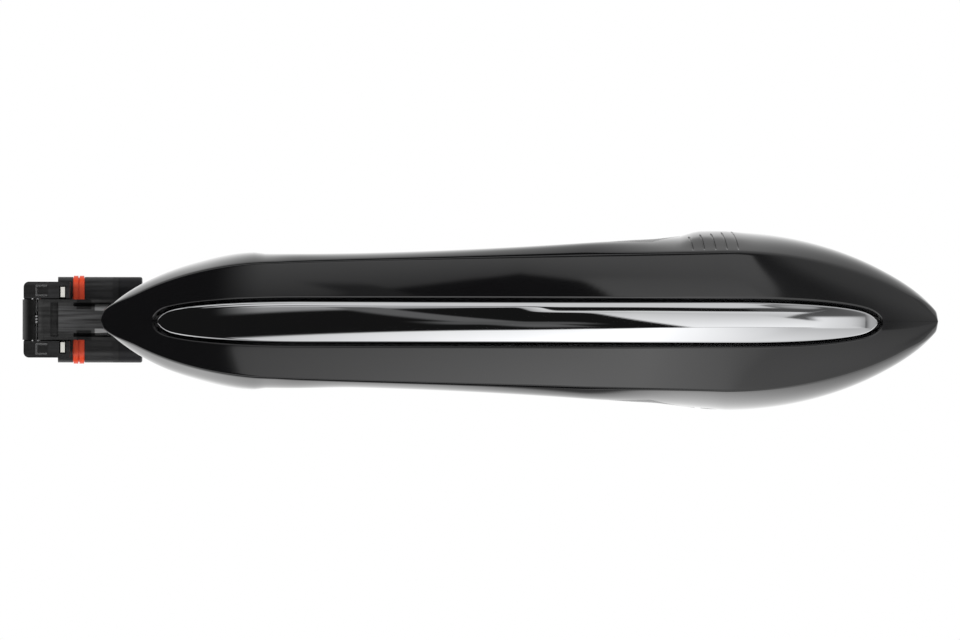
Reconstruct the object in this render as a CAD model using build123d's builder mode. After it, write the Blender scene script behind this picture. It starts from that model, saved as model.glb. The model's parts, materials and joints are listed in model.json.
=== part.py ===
"""Exterior pull handle of a car door, with keyless entry, in millimetres.

X runs rearwards along the handle, Y runs into the door and Z is up.
Sizes are taken from the middle of the hinge pin; the finished pieces are moved so that
the origin is midway between the two fixing holes. The handle's outer face looks to -Y.
"""
from build123d import *
from math import asin, atan2, cos, degrees, radians, sin, sqrt
import os

# ---------------------------------------------------------------- driving sizes

# Grip, seen from outside the door
GRIP_FRONT_X = 17.2            # front tip, measured from the hinge pin
GRIP_LENGTH = 214.0
GRIP_REAR_X = GRIP_FRONT_X + GRIP_LENGTH
WAIST_HALF_WIDTH = 16.9        # narrowest part of the grip
SHOULDER_HALF_WIDTH = 22.7     # widest part, over the rear foot
WAIST_START = 50.0             # from the front tip to where the grip starts to widen
FRONT_NOSE_LENGTH = 41.0
REAR_NOSE_LENGTH = 54.6
FRONT_NOSE_POWER = 0.83        # lower is blunter
REAR_NOSE_POWER = 0.74
FRONT_TIP_LENGTH = 2.5         # rounding of the two tips
FRONT_TIP_LEAD = 1.6
REAR_TIP_LENGTH = 1.6
REAR_TIP_LEAD = 0.8
FLARE_POWER = 1.7

# Crease that parts the outer face from the side walls
CREASE_FRONT_HALF_WIDTH = 14.9
CREASE_REAR_HALF_WIDTH = 17.9
CREASE_START = 45.0
CREASE_FRONT_POWER = 0.77
CREASE_REAR_POWER = 0.70
CREASE_POWER = 0.8
CREASE_TIP_LENGTH = 9.0        # over this length at the tips the crease nears the grip's edge
CREASE_TIP_SHARE = 0.95

# Grip, seen from above
SKIN_Y = -9.0                  # outer skin of the door
GASKET_THICKNESS = 1.5
TIP_HEIGHT = 5.0               # from the feet's base to the outer face at both tips
ARCH_RISE = 26.0               # how far the outer face bows out between the tips
GRIP_DEPTH = 16.0              # outer face to inner face over the finger gap
SHELL_DEPTH = 9.0              # outer face to the parting line over the finger gap
FACE_CROWN_RADIUS = 65.0       # outer face, across the grip
EDGE_LAND = 1.5                # straight edge of the side wall above the base
GAP_FRONT_X = 59.0             # finger gap at the base
REAR_FOOT_LENGTH = 62.2        # rear tip to the gap
GAP_REAR_X = GRIP_REAR_X - REAR_FOOT_LENGTH
GAP_RAMP = 12.0                # length of the slope at each end of the gap
GAP_CORNER_RADIUS = 9.0
GRIP_EDGE_CHAMFER = 2.6        # easing of the grip's inner edges
FOOT_BLEND = 20.0              # length over which a foot's wall becomes the grip's

# Hollow of the grip
CAVITY_ROOF = 4.2              # outer face to the hollow
CAVITY_FLOOR = 2.2             # inner cover, over the gap and under the feet
CAVITY_SIDE = 4.3              # crease to the hollow's side
CAVITY_FRONT_MARGIN = 12.8     # tip to the hollow
CAVITY_REAR_MARGIN = 12.2
CAVITY_FRONT_X = GRIP_FRONT_X + CAVITY_FRONT_MARGIN
CAVITY_REAR_X = GRIP_REAR_X - CAVITY_REAR_MARGIN
FLOOR_RAMP_LEAD = 4.0          # the hollow's floor starts to rise this far before the gap
SPIGOT_CLEARANCE = 0.02        # a part lying in its seat

# Trim strip
TRIM_FRONT_MARGIN = 14.1       # tip to the strip
TRIM_REAR_MARGIN = 15.6
TRIM_FRONT_X = GRIP_FRONT_X + TRIM_FRONT_MARGIN
TRIM_REAR_X = GRIP_REAR_X - TRIM_REAR_MARGIN
TRIM_HALF_WIDTH = 5.26
TRIM_FRONT_TAPER = 38.5
TRIM_REAR_TAPER = 36.0
TRIM_FRONT_POWER = 0.28
TRIM_REAR_POWER = 0.34
TRIM_CROWN_RADIUS = 10.6
TRIM_PROUD = 0.5
TRIM_BACK = 2.1                # outer face to the strip's back
TRIM_TAPE = 0.3
TRIM_TAPE_INSET = 1.8
TRIM_TAPE_END = 4.0            # bare length of the strip's back at both tips
TRIM_GAP = 0.85

# Hinge
PIN_RADIUS = 1.25
PIN_LENGTH = 19.0
RUNNING_CLEARANCE = 0.04
BUSH_RADIUS = 2.1
BUSH_LENGTH = 3.2
BUSH_FLANGE_RADIUS = 3.0
BUSH_FLANGE = 0.4
KNUCKLE_RADIUS = 3.6
ARM_HALF_WIDTH = 5.2
CHEEK_CLEARANCE = 0.3
PIN_SLOT_WIDTH = 0.9           # slot that shows the pin from outside
BLOCK_NOSE_HALF_WIDTH = 9.75
BLOCK_NOSE_FRONT_X = -3.3
BLOCK_NOSE_CORNER = 1.4
BLOCK_FLANGE_X = 5.4           # where the nose steps out to the plug's width
BLOCK_FRONT_Y = 5.4            # face of the block behind the arm
BLOCK_BACK_Y = 17.4
CHEEK_FRONT_Y = -3.0
CHEEK_REAR_X = 8.6
CLIP_WIRE = 0.5
CLIP_SPAN = 2.5
CLIP_Z = 7.5
CLIP_LEG = 2.8

# Plug
PLUG_HALF_WIDTH = 11.0
PLUG_CORNER = 3.0
SEAL_X = 9.2
SEAL_WIDTH = 3.1
SEAL_SEAT = 1.3                # depth of the seal's groove
SEAL_PROUD = 0.3
SEAL_LIP = 0.45
PLUG_REAR_X = 19.6
BOOT_LENGTH = 7.4
BOOT_STEM = 6.5
BOOT_STEM_RADIUS = 3.6
BOOT_RIB_X = 19.3
TERMINAL_PITCH = 3.0
TERMINAL_COUNT = 4
TERMINAL_SIZE = 0.8
TERMINAL_LENGTH = 9.0
TERMINAL_SEATING = 5.0
SOCKET_HALF_WIDTH = 7.4
SOCKET_FRONT_Y = 8.2
SOCKET_BACK_Y = 14.6
SOCKET_DEPTH = 6.6
LEAD_Y = 11.4
LOCK_X = 6.75
LOCK_THICKNESS = 1.1
LOCK_INNER_Z = 5.8
LOCK_OUTER_Z = 8.4
LOCK_DEPTH = 3.4
LOCK_BAR = 1.2                 # bar that joins the lock's two legs
LOCK_TRAVEL = 1.4
LOCK_REST_Y = 4.0
SLIDE_CLEARANCE = 0.3
INSERT_RADIUS = 2.0
INSERT_BORE_RADIUS = 1.25
INSERT_LENGTH = 5.0
INSERT_SPACING = 15.0
INSERT_X = 16.0
INSERT_END_GAP = 0.6           # drilling left beyond the insert
BUMPER_X = 15.8
BUMPER_RADIUS = 1.8
BUMPER_STEM_RADIUS = 1.1
BUMPER_CLEARANCE = 0.3
LEAD_RADIUS = 1.9
LEAD_X = 47.5

# Return spring
WIRE_RADIUS = 0.3
COIL_RADIUS = 2.1
COIL_TURNS = 3
COIL_PITCH = 0.75
SPRING_POCKET_RADIUS = 2.75
SPRING_POCKET_HALF_WIDTH = 1.6
SPRING_LEG_Y = 7.4             # the fixed leg reaches this deep into the block
SPRING_SHORT_LEG = 1.2

# Arm
ARM_BACK_Y = 2.4
ARM_FRONT_Y = -3.2
ARM_RAIL = 0.8
ARM_WEB_HALF_WIDTH = 3.4
ARM_CHANNEL_DEPTH = 3.2
ARM_CHANNEL_X = 9.5
ARM_DIP_X = 1.6
ARM_DIP_END_X = 5.6
ARM_DIP_DEPTH = 1.2
ARM_LEG_X = 31.0
ARM_LEG_LENGTH = 8.0
ARM_LEG_HALF_WIDTH = 3.6
ARM_FLANGE_END_X = 54.6
ARM_NECK_HALF_WIDTH = 4.0
FLANGE_THICKNESS = 3.4
FLANGE_HALF_WIDTH = 9.2
FLANGE_GAP = 0.4               # between a flange and the inner cover
WINDOW_CLEARANCE = 0.3
LEAD_CHANNEL = 5.8
ARM_PAD_LENGTH = 5.0
GUSSET_RADIUS = 3.6

# Screws: M2.5 thread-forming
SCREW_RADIUS = 1.25
SCREW_HEAD_RADIUS = 2.2
SCREW_HEAD_HEIGHT = 1.5
ARM_SCREW_LENGTH = 8.0
COVER_SCREW_LENGTH = 6.0
COUNTERBORE_DEPTH = 1.6
BOSS_RADIUS = 2.6
HOLE_CLEARANCE = 0.15
SOCKET_RADIUS = 0.9
SOCKET_DRIVE_DEPTH = 0.8
ARM_SCREW_X = 50.3
ARM_SCREW_Z = 6.3
HOOK_SCREW_FRONT = 5.0         # hook to the screw before it, and to the one after it
HOOK_SCREW_REAR = 4.4
COVER_SCREW_FRONT_MARGIN = 7.8
COVER_SCREW_MIDDLE_MARGIN = 55.2
COVER_SCREW_MIDDLE_Z = -8.5
COVER_SCREW_REAR_MARGIN = 18.6

# Rear hook
HOOK_MARGIN = 42.2             # rear tip to the hook's front face
HOOK_X = GRIP_REAR_X - HOOK_MARGIN
HOOK_LENGTH = 10.0
HOOK_HALF_WIDTH = 4.0
HOOK_TIP_Y = 17.0
HOOK_SLOT_Y = 3.5
HOOK_SLOT_WIDTH = 6.5
HOOK_SLOT_DEPTH = 5.6
HOOK_FLANGE_FRONT = 9.5
HOOK_FLANGE_REAR = 8.5
HOOK_FLANGE_HALF_WIDTH = 8.5
HOOK_CORNER = 2.5
BUFFER_WALL = 1.4
BUFFER_LENGTH = 6.0
BUFFER_Y = -5.5

# Touch field for locking: five grooves in a slightly raised part of the upper side wall
PAD_MARGIN = 57.55             # rear tip to the field's middle
PAD_X = GRIP_REAR_X - PAD_MARGIN
PAD_LENGTH = 15.5
PAD_HEIGHT = 16.0
PAD_CENTRE_Y = -26.0
PAD_PROUD = 0.4
PAD_EDGE_LEAN = 60.0           # slope of the raised part's edges, in degrees from upright
PAD_CORNER = 1.4
GROOVE_PITCH = 2.9
GROOVE_WIDTH = 0.5
GROOVE_DEPTH = 0.45
GROOVE_SLANT = 7.0             # degrees, leaning forwards towards the door
GROOVE_LENGTHS = (9.0, 10.0, 11.2, 12.6, 14.4)
GROOVE_OUTER_END = 7.2         # from the field's middle towards the crease
SENSOR_WALL = 2.6              # painted wall left in front of the sensor
SENSOR_LENGTH = 10.0
SENSOR_HEIGHT = 10.0
SENSOR_FOIL = 0.3

# Electronics
BOARD_X = 95.0
BOARD_LENGTH = 52.0
BOARD_HALF_WIDTH = 8.8
BOARD_THICKNESS = 1.0
BOARD_Y = -31.0                # outer side of the board
POST_RADIUS = 1.8
BOARD_SCREW_RADIUS = 0.8
BOARD_SCREW_HEAD_RADIUS = 1.5
BOARD_SCREW_HEAD = 0.9
BOARD_SCREW_LENGTH = 3.4
BOARD_SCREW_INSET = 2.4
CHIP_X = 112.0
CHIP_Z = 1.5
CHIP_SIZE = 7.0
CHIP_HEIGHT = 1.1
SECOND_CHIP_X = 132.0
SECOND_CHIP_Z = 3.5
THIRD_CHIP_X = 139.0
THIRD_CHIP_Z = -1.5
SMALL_CHIP_SIZE = 4.0
CONNECTOR_LENGTH = 4.5
CONNECTOR_WIDTH = 5.0
CONNECTOR_HEIGHT = 2.8
ELECTRODE_THICKNESS = 0.3
ELECTRODE_Z = 3.2
ELECTRODE_HALF_WIDTH = 5.6
ELECTRODE_START = 92.0
ELECTRODE_END = 152.0
ROD_X = 66.0
ROD_LENGTH = 24.0
ROD_WIDTH = 5.0
ROD_HEIGHT = 3.0
ROD_Y = -29.2                  # outer side of the rod
ROD_Z = -4.4
ROD_CRADLE = 3.0
ROD_CRADLE_INSET = 1.5
COIL_WALL = 0.5
COIL_LENGTH = 14.0
LIGHT_START = 104.0
LIGHT_END = 140.0
LIGHT_WIDTH = 3.0
LIGHT_Z = -6.6
LIGHT_FLANGE = 0.8
LIGHT_LIP = 1.0
LED_SIZE = 2.0
LED_HEIGHT = 0.8
HARNESS_RADIUS = 1.3
HARNESS_Z = 2.0
HARNESS_BEND = 4.0
GROMMET_LIP = 1.0
SENSOR_LEAD_BEND = 1.8
SENSOR_LEAD_RADIUS = 0.6

# ---------------------------------------------------------------- shared shapes

BASE_Y = SKIN_Y - GASKET_THICKNESS
ARCH_X = GRIP_FRONT_X + GRIP_LENGTH / 2
ARCH_RADIUS = ((GRIP_LENGTH / 2) ** 2 + ARCH_RISE**2) / (2 * ARCH_RISE)
ARCH_Y = BASE_Y - TIP_HEIGHT - ARCH_RISE + ARCH_RADIUS
PARTING_Y = BASE_Y - CAVITY_FLOOR
FLOOR_Y = PARTING_Y
FLANGE_BACK_Y = FLOOR_Y - FLANGE_GAP
FLANGE_FRONT_Y = FLANGE_BACK_Y - FLANGE_THICKNESS
HEAD_SEAT_Y = FLANGE_BACK_Y - COUNTERBORE_DEPTH
COVER_SEAT_Y = BASE_Y - COUNTERBORE_DEPTH
COVER_BOSS_Y = COVER_SEAT_Y - 1.6
CHEEK_INNER_Z = ARM_HALF_WIDTH + CHEEK_CLEARANCE
REACH = 60.0                   # half height of the prisms that cut across the grip


def nose(distance, length, power):
    """Share of the full width at a distance from a tip."""
    if distance >= length:
        return 1.0
    return (1 - (1 - max(distance, 0.0) / length) ** 2) ** power


def flare(x, start, power):
    """Grows from 0 where the grip starts to widen to 1 at the shoulder."""
    along = x - GRIP_FRONT_X - start
    run = GRIP_LENGTH - REAR_NOSE_LENGTH - start
    return min(max(along / run, 0.0), 1.0) ** power


def half_width(x):
    """Half the width of the grip at its widest, at a place along it."""
    widening = SHOULDER_HALF_WIDTH - WAIST_HALF_WIDTH
    middle = WAIST_HALF_WIDTH + widening * flare(x, WAIST_START, FLARE_POWER)
    from_front, from_rear = x - GRIP_FRONT_X, GRIP_REAR_X - x
    front = nose(from_front + FRONT_TIP_LEAD, FRONT_NOSE_LENGTH + FRONT_TIP_LEAD, FRONT_NOSE_POWER)
    rear = nose(from_rear + REAR_TIP_LEAD, REAR_NOSE_LENGTH + REAR_TIP_LEAD, REAR_NOSE_POWER)
    tips = nose(from_front, FRONT_TIP_LENGTH, 0.5) * nose(from_rear, REAR_TIP_LENGTH, 0.5)
    return middle * front * rear * tips


def crease_half_width(x):
    """Half the width of the outer face, between its two creases."""
    widening = CREASE_REAR_HALF_WIDTH - CREASE_FRONT_HALF_WIDTH
    middle = CREASE_FRONT_HALF_WIDTH + widening * flare(x, CREASE_START, CREASE_POWER)
    from_front, from_rear = x - GRIP_FRONT_X, GRIP_REAR_X - x
    front = nose(from_front, CREASE_START, CREASE_FRONT_POWER)
    rear = nose(from_rear, REAR_NOSE_LENGTH, CREASE_REAR_POWER)
    inner, edge = middle * front * rear, CREASE_TIP_SHARE * half_width(x)
    away = smooth_step(min(from_front, from_rear), 0.0, CREASE_TIP_LENGTH)
    return min(edge + (inner - edge) * away, edge)


def trim_half_width(x):
    """Half the width of the trim strip at a place along it."""
    front = nose(x - TRIM_FRONT_X, TRIM_FRONT_TAPER, TRIM_FRONT_POWER)
    rear = nose(TRIM_REAR_X - x, TRIM_REAR_TAPER, TRIM_REAR_POWER)
    return TRIM_HALF_WIDTH * front * rear


def smooth_step(value, low, high):
    """0 below low, 1 above high, and a smooth ramp between them."""
    share = min(max((value - low) / (high - low), 0.0), 1.0)
    return share * share * (3 - 2 * share)


def arch_y(x, depth=0.0):
    """Y of the outer face's middle line, or of a surface a depth behind it."""
    return ARCH_Y - sqrt((ARCH_RADIUS - depth) ** 2 - (x - ARCH_X) ** 2)


def arch_arc(start_x, end_x, depth):
    """Arc of the arch at a depth behind the outer face, drawn in the XY plane."""
    middle_x = (start_x + end_x) / 2
    return ThreePointArc(
        (start_x, arch_y(start_x, depth)),
        (middle_x, arch_y(middle_x, depth)),
        (end_x, arch_y(end_x, depth)),
    )


def across(x):
    """Plane across the grip: its x is the part's Z and its y is the height out from the door."""
    return Plane(origin=(x, 0, 0), x_dir=(0, 0, 1), z_dir=(1, 0, 0))


def facing_in(x, y, z=0.0):
    """Plane that looks into the door, +Y, with its x along the grip."""
    return Plane(origin=(x, y, z), x_dir=(1, 0, 0), z_dir=(0, 1, 0))


def foot_share(x):
    """1 over the feet, 0 over the finger gap."""
    front = 1 - smooth_step(x, GAP_FRONT_X - FOOT_BLEND, GAP_FRONT_X + FOOT_BLEND / 2)
    rear = smooth_step(x, GAP_REAR_X - FOOT_BLEND * 1.5, GAP_REAR_X + FOOT_BLEND / 2)
    return max(front, rear)


def widest_height(x):
    """Height out from the door of the grip's widest line."""
    top, base = -arch_y(x), -BASE_Y
    over_foot = foot_share(x)
    widest = (top - SHELL_DEPTH) * (1 - over_foot) + (base + EDGE_LAND) * over_foot
    return max(min(widest, top - TIP_HEIGHT / 2), base + EDGE_LAND)


def shoulder_height(x):
    """Height out from the door of the two creases, which soften towards the rear nose."""
    width, crease, top = half_width(x), crease_half_width(x), -arch_y(x)
    crowned = FACE_CROWN_RADIUS - sqrt(FACE_CROWN_RADIUS**2 - crease**2)
    rounded = (top - widest_height(x)) * (1 - sqrt(1 - (crease / width) ** 2))
    softening = smooth_step(x, GRIP_REAR_X - REAR_NOSE_LENGTH, GRIP_REAR_X - REAR_NOSE_LENGTH / 3)
    return top - crowned - max(rounded - crowned, 0.0) * softening * 0.6


def grip_section(x):
    """Closed outline of the grip across x: crowned face, two bowed side walls and a flat base."""
    width, crease = half_width(x), crease_half_width(x)
    top, base, widest, shoulder = -arch_y(x), -BASE_Y, widest_height(x), shoulder_height(x)
    rise, inset = shoulder - widest, width - crease
    bow_radius = (inset**2 + rise**2) / (2 * inset)
    bow = asin(min(rise / bow_radius, 1.0)) / 2
    middle = (width - bow_radius * (1 - cos(bow)), widest + bow_radius * sin(bow))
    with BuildSketch(across(x)) as section:
        with BuildLine():
            ThreePointArc((-crease, shoulder), (0, top), (crease, shoulder))
            for side in (1, -1):
                ThreePointArc((side * crease, shoulder), (side * middle[0], middle[1]), (side * width, widest))
                Line((side * width, widest), (side * width, base))
            Line((width, base), (-width, base))
        make_face()
    return section.sketch


def station_places():
    """X of every section of the grip, closer together near the tips."""
    front = [GRIP_FRONT_X + place for place in (0.15, 2.0, 5.0, 10.5, 18.0, 27.0)]
    rear = [GRIP_REAR_X - place for place in (40.0, 29.0, 19.0, 11.0, 5.0, 2.0, 0.15)]
    first, last, count = GRIP_FRONT_X + FRONT_NOSE_LENGTH, GRIP_REAR_X - REAR_NOSE_LENGTH, 9
    return front + [first + (last - first) * n / (count - 1) for n in range(count)] + rear


def outline_places(front_x, rear_x, nose_share=0.16):
    """X of the points that shape a long outline, closer together near its tips."""
    length = rear_x - front_x
    ends = (0.001, 0.006, 0.03, 0.08, nose_share)
    middle = (0.3, 0.45, 0.6, 0.72)
    return [front_x + length * place for place in (*ends, *middle, *(1 - end for end in reversed(ends)))]


def plan_outline(width_at, front_x, rear_x):
    """Face in plan, symmetric about Z = 0, from a function that gives its half width."""
    upper = [(x, width_at(x)) for x in outline_places(front_x, rear_x)]
    with BuildSketch(Plane(origin=(0, 0, 0), x_dir=(1, 0, 0), z_dir=(0, -1, 0))) as plan:
        with BuildLine():
            Spline((front_x, 0), *upper, (rear_x, 0))
            Spline((front_x, 0), *[(x, -z) for x, z in upper], (rear_x, 0))
        make_face()
    return plan.sketch


def arch_ring(inner_depth, outer_depth, half_height=30.0):
    """Ring between two depths behind the outer face, centred on the arch's axis."""
    with BuildPart() as ring:
        with Locations((ARCH_X, ARCH_Y, 0)):
            Cylinder(ARCH_RADIUS - outer_depth, 2 * half_height)
            Cylinder(ARCH_RADIUS - inner_depth, 2 * half_height, mode=Mode.SUBTRACT)
    return ring.part


def cover_side():
    """Region of the XY plane that belongs to the inner cover and everything behind it."""
    rise_start, rise_end = GAP_FRONT_X - GAP_RAMP, GAP_FRONT_X + 3
    fall_start, fall_end = GAP_REAR_X - GAP_RAMP + 1, GAP_REAR_X + 1
    with BuildSketch(Plane.XY) as region:
        with BuildLine():
            front = Line((rise_start, PARTING_Y), (rise_end, arch_y(rise_end, SHELL_DEPTH)))
            arc = arch_arc(rise_end, fall_start, SHELL_DEPTH)
            rear = Line((fall_start, arch_y(fall_start, SHELL_DEPTH)), (fall_end, PARTING_Y))
            Polyline(
                (fall_end, PARTING_Y), (GRIP_REAR_X + 20, PARTING_Y), (GRIP_REAR_X + 20, 40),
                (GRIP_FRONT_X - 20, 40), (GRIP_FRONT_X - 20, PARTING_Y), (rise_start, PARTING_Y),
            )
        make_face()
    return region.sketch


def gap_side():
    """Region of the XY plane taken by the finger gap."""
    front_x, rear_x = GAP_FRONT_X + GAP_RAMP, GAP_REAR_X - GAP_RAMP
    with BuildSketch(Plane.XY) as region:
        with BuildLine():
            Line((GAP_FRONT_X, BASE_Y), (front_x, arch_y(front_x, GRIP_DEPTH)))
            arch_arc(front_x, rear_x, GRIP_DEPTH)
            Line((rear_x, arch_y(rear_x, GRIP_DEPTH)), (GAP_REAR_X, BASE_Y))
            Polyline((GAP_REAR_X, BASE_Y), (GAP_REAR_X, 10), (GAP_FRONT_X, 10), (GAP_FRONT_X, BASE_Y))
        make_face()
        inner = region.vertices().group_by(Axis.Y)[0]
        fillet(inner, GAP_CORNER_RADIUS)
    return region.sketch


def cavity_side():
    """Region of the XY plane taken by the hollow of the grip."""
    depth = GRIP_DEPTH - CAVITY_FLOOR
    front_x, rear_x = GAP_FRONT_X + GAP_RAMP - 3, GAP_REAR_X - GAP_RAMP + 3
    front_ramp, rear_ramp = GAP_FRONT_X - FLOOR_RAMP_LEAD, GAP_REAR_X + FLOOR_RAMP_LEAD
    with BuildSketch(Plane.XY) as region:
        with BuildLine():
            Polyline(
                (CAVITY_FRONT_X, arch_y(CAVITY_FRONT_X, CAVITY_ROOF)), (CAVITY_FRONT_X, FLOOR_Y),
                (front_ramp, FLOOR_Y), (front_x, arch_y(front_x, depth)),
            )
            arch_arc(front_x, rear_x, depth)
            Polyline(
                (rear_x, arch_y(rear_x, depth)), (rear_ramp, FLOOR_Y),
                (CAVITY_REAR_X, FLOOR_Y), (CAVITY_REAR_X, arch_y(CAVITY_REAR_X, CAVITY_ROOF)),
            )
            arch_arc(CAVITY_FRONT_X, CAVITY_REAR_X, CAVITY_ROOF)
        make_face()
    return region.sketch


def cavity_plan():
    """Plan of the hollow: the creases' outline, set in by a wall."""
    length = CAVITY_REAR_X - CAVITY_FRONT_X
    shares = (0.0, 0.032, 0.08, 0.16, 0.29, 0.45, 0.61, 0.75, 0.85, 0.93, 1.0)
    places = [CAVITY_FRONT_X + length * share for share in shares]
    upper = [(x, crease_half_width(x) - CAVITY_SIDE) for x in places]
    with BuildSketch(Plane(origin=(0, 0, 0), x_dir=(1, 0, 0), z_dir=(0, -1, 0))) as plan:
        with BuildLine():
            Spline(*upper)
            Spline(*[(x, -z) for x, z in upper])
            Line(upper[0], (upper[0][0], -upper[0][1]))
            Line(upper[-1], (upper[-1][0], -upper[-1][1]))
        make_face()
    return plan.sketch


# Plane of the touch field: it lies on the upper side wall and looks out of the grip
WALL_INSET = half_width(PAD_X) - crease_half_width(PAD_X)
WALL_RISE = shoulder_height(PAD_X) - widest_height(PAD_X)
WALL_RADIUS = (WALL_INSET**2 + WALL_RISE**2) / (2 * WALL_INSET)
PAD_LEAN = asin((-PAD_CENTRE_Y - widest_height(PAD_X)) / WALL_RADIUS)
PAD_CENTRE_Z = half_width(PAD_X) - WALL_RADIUS * (1 - cos(PAD_LEAN))
PAD_NORMAL = (0, -sin(PAD_LEAN), cos(PAD_LEAN))
PAD_BOW = SENSOR_HEIGHT**2 / (8 * WALL_RADIUS)
SENSOR_SEAT = SENSOR_WALL + PAD_BOW
SENSOR_BACK = SENSOR_SEAT + SENSOR_FOIL + BOARD_THICKNESS


def pad_plane(depth):
    """Plane of the touch field at a depth below the side wall."""
    return Plane(
        origin=(PAD_X, PAD_CENTRE_Y + depth * sin(PAD_LEAN), PAD_CENTRE_Z - depth * cos(PAD_LEAN)),
        x_dir=(1, 0, 0), z_dir=PAD_NORMAL,
    )


ARM_SCREW_PLACES = [(ARM_SCREW_X, ARM_SCREW_Z), (ARM_SCREW_X, -ARM_SCREW_Z)]
HOOK_SCREW_PLACES = [(HOOK_X - HOOK_SCREW_FRONT, 0), (HOOK_X + HOOK_LENGTH + HOOK_SCREW_REAR, 0)]
COVER_SCREW_PLACES = [
    (GRIP_FRONT_X + COVER_SCREW_FRONT_MARGIN, 0),
    (GRIP_REAR_X - COVER_SCREW_MIDDLE_MARGIN, COVER_SCREW_MIDDLE_Z),
    (GRIP_REAR_X - COVER_SCREW_REAR_MARGIN, 0),
]
BOARD_SCREW_PLACES = [
    (BOARD_X + along, side * (BOARD_HALF_WIDTH - BOARD_SCREW_INSET))
    for along in (BOARD_SCREW_INSET, BOARD_LENGTH - BOARD_SCREW_INSET) for side in (-1, 1)
]


def on_plane(y, places):
    """Locations at (x, z) places on a plane that looks into the door at y."""
    return [facing_in(x, y, z).location for x, z in places]


def screws(places, seat_y, length, radius, head_radius, head_height, socket):
    """Screws whose heads sit on seat_y and whose shanks point out of the door."""
    with BuildPart() as made:
        for location in on_plane(seat_y, places):
            with Locations(location):
                Cylinder(head_radius, head_height, align=(Align.CENTER, Align.CENTER, Align.MIN))
                Cylinder(radius, length, align=(Align.CENTER, Align.CENTER, Align.MAX))
            with Locations(location * Location((0, 0, head_height))):
                Cylinder(socket, SOCKET_DRIVE_DEPTH if socket > 0.6 else 0.5,
                         align=(Align.CENTER, Align.CENTER, Align.MAX), mode=Mode.SUBTRACT)
    return made.part


def slab(x0, x1, y0, y1, z0, z1):
    """Box between six planes."""
    with BuildPart() as box:
        with Locations(((x0 + x1) / 2, (y0 + y1) / 2, (z0 + z1) / 2)):
            Box(abs(x1 - x0), abs(y1 - y0), abs(z1 - z0))
    return box.part


def rod_along_y(places, radius, y0, y1):
    """Round bars along Y at (x, z) places."""
    with BuildPart() as bars:
        for location in on_plane(min(y0, y1), places):
            with Locations(location):
                Cylinder(radius, abs(y1 - y0), align=(Align.CENTER, Align.CENTER, Align.MIN))
    return bars.part


# ---------------------------------------------------------------- grip body

with BuildPart() as grip_form:
    loft([grip_section(x) for x in station_places()])

with BuildPart() as gap_cut:
    with BuildSketch(Plane.XY.offset(-REACH)):
        add(gap_side())
    extrude(amount=2 * REACH)

with BuildPart() as cover_region:
    with BuildSketch(Plane.XY.offset(-REACH)):
        add(cover_side())
    extrude(amount=2 * REACH)

with BuildPart() as cavity_prism:
    with BuildSketch(Plane.XY.offset(-REACH)):
        add(cavity_side())
    extrude(amount=2 * REACH)

CAVITY_PLAN = cavity_plan()

with BuildPart() as cavity_form:
    extrude(CAVITY_PLAN, amount=80, dir=(0, -1, 0))
    add(cavity_prism.part, mode=Mode.INTERSECT)

with BuildPart() as grip_body:
    add(grip_form.part)
    add(gap_cut.part, mode=Mode.SUBTRACT)
    inner_face = grip_body.faces().filter_by(GeomType.CYLINDER).sort_by(SortBy.AREA)[-1]
    chamfer(inner_face.edges().filter_by(lambda edge: abs((edge @ 0.5).Z) > 10), GRIP_EDGE_CHAMFER)
GRIP_BODY = grip_body.part

with BuildPart() as bosses:
    add(rod_along_y(ARM_SCREW_PLACES, BOSS_RADIUS, FLANGE_FRONT_Y, FLANGE_FRONT_Y - 30))
    add(rod_along_y(HOOK_SCREW_PLACES, BOSS_RADIUS, FLANGE_FRONT_Y, FLANGE_FRONT_Y - 30))
    add(rod_along_y(COVER_SCREW_PLACES[1:], BOSS_RADIUS, COVER_BOSS_Y, COVER_BOSS_Y - 30))
    add(rod_along_y(BOARD_SCREW_PLACES, POST_RADIUS, BOARD_Y, BOARD_Y - 20))
    add(slab(CAVITY_FRONT_X, CAVITY_FRONT_X + ARM_PAD_LENGTH, FLANGE_FRONT_Y, FLANGE_FRONT_Y - 10,
             -ARM_LEG_HALF_WIDTH, ARM_LEG_HALF_WIDTH))
    for x in (ROD_X + ROD_CRADLE_INSET, ROD_X + ROD_LENGTH - ROD_CRADLE_INSET):
        add(slab(x - ROD_CRADLE / 2, x + ROD_CRADLE / 2, ROD_Y + ROD_HEIGHT / 2, ROD_Y - 20,
                 ROD_Z - ROD_WIDTH / 2 - 1, ROD_Z + ROD_WIDTH / 2 + 1))

RECESS_FRONT_X = TRIM_FRONT_X - 1.6 * TRIM_GAP
RECESS_REAR_X = TRIM_REAR_X + 1.6 * TRIM_GAP


def recess_half_width(x):
    """Half the width of the recess round the trim strip."""
    taper_front = nose(x - RECESS_FRONT_X, TRIM_FRONT_TAPER, TRIM_FRONT_POWER)
    taper_rear = nose(RECESS_REAR_X - x, TRIM_REAR_TAPER, TRIM_REAR_POWER)
    return (TRIM_HALF_WIDTH + TRIM_GAP) * taper_front * taper_rear


TRIM_PLAN = plan_outline(trim_half_width, TRIM_FRONT_X, TRIM_REAR_X)
RECESS_PLAN = plan_outline(recess_half_width, RECESS_FRONT_X, RECESS_REAR_X)

with BuildPart() as trim_outline:
    extrude(TRIM_PLAN, amount=80, dir=(0, -1, 0))

with BuildPart() as recess_outline:
    extrude(RECESS_PLAN, amount=80, dir=(0, -1, 0))

with BuildPart() as wall_disc:
    with BuildSketch(across(PAD_X - PAD_LENGTH)):
        with Locations((half_width(PAD_X) - WALL_RADIUS, widest_height(PAD_X))):
            Circle(WALL_RADIUS + PAD_PROUD)
    extrude(amount=2 * PAD_LENGTH)

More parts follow.
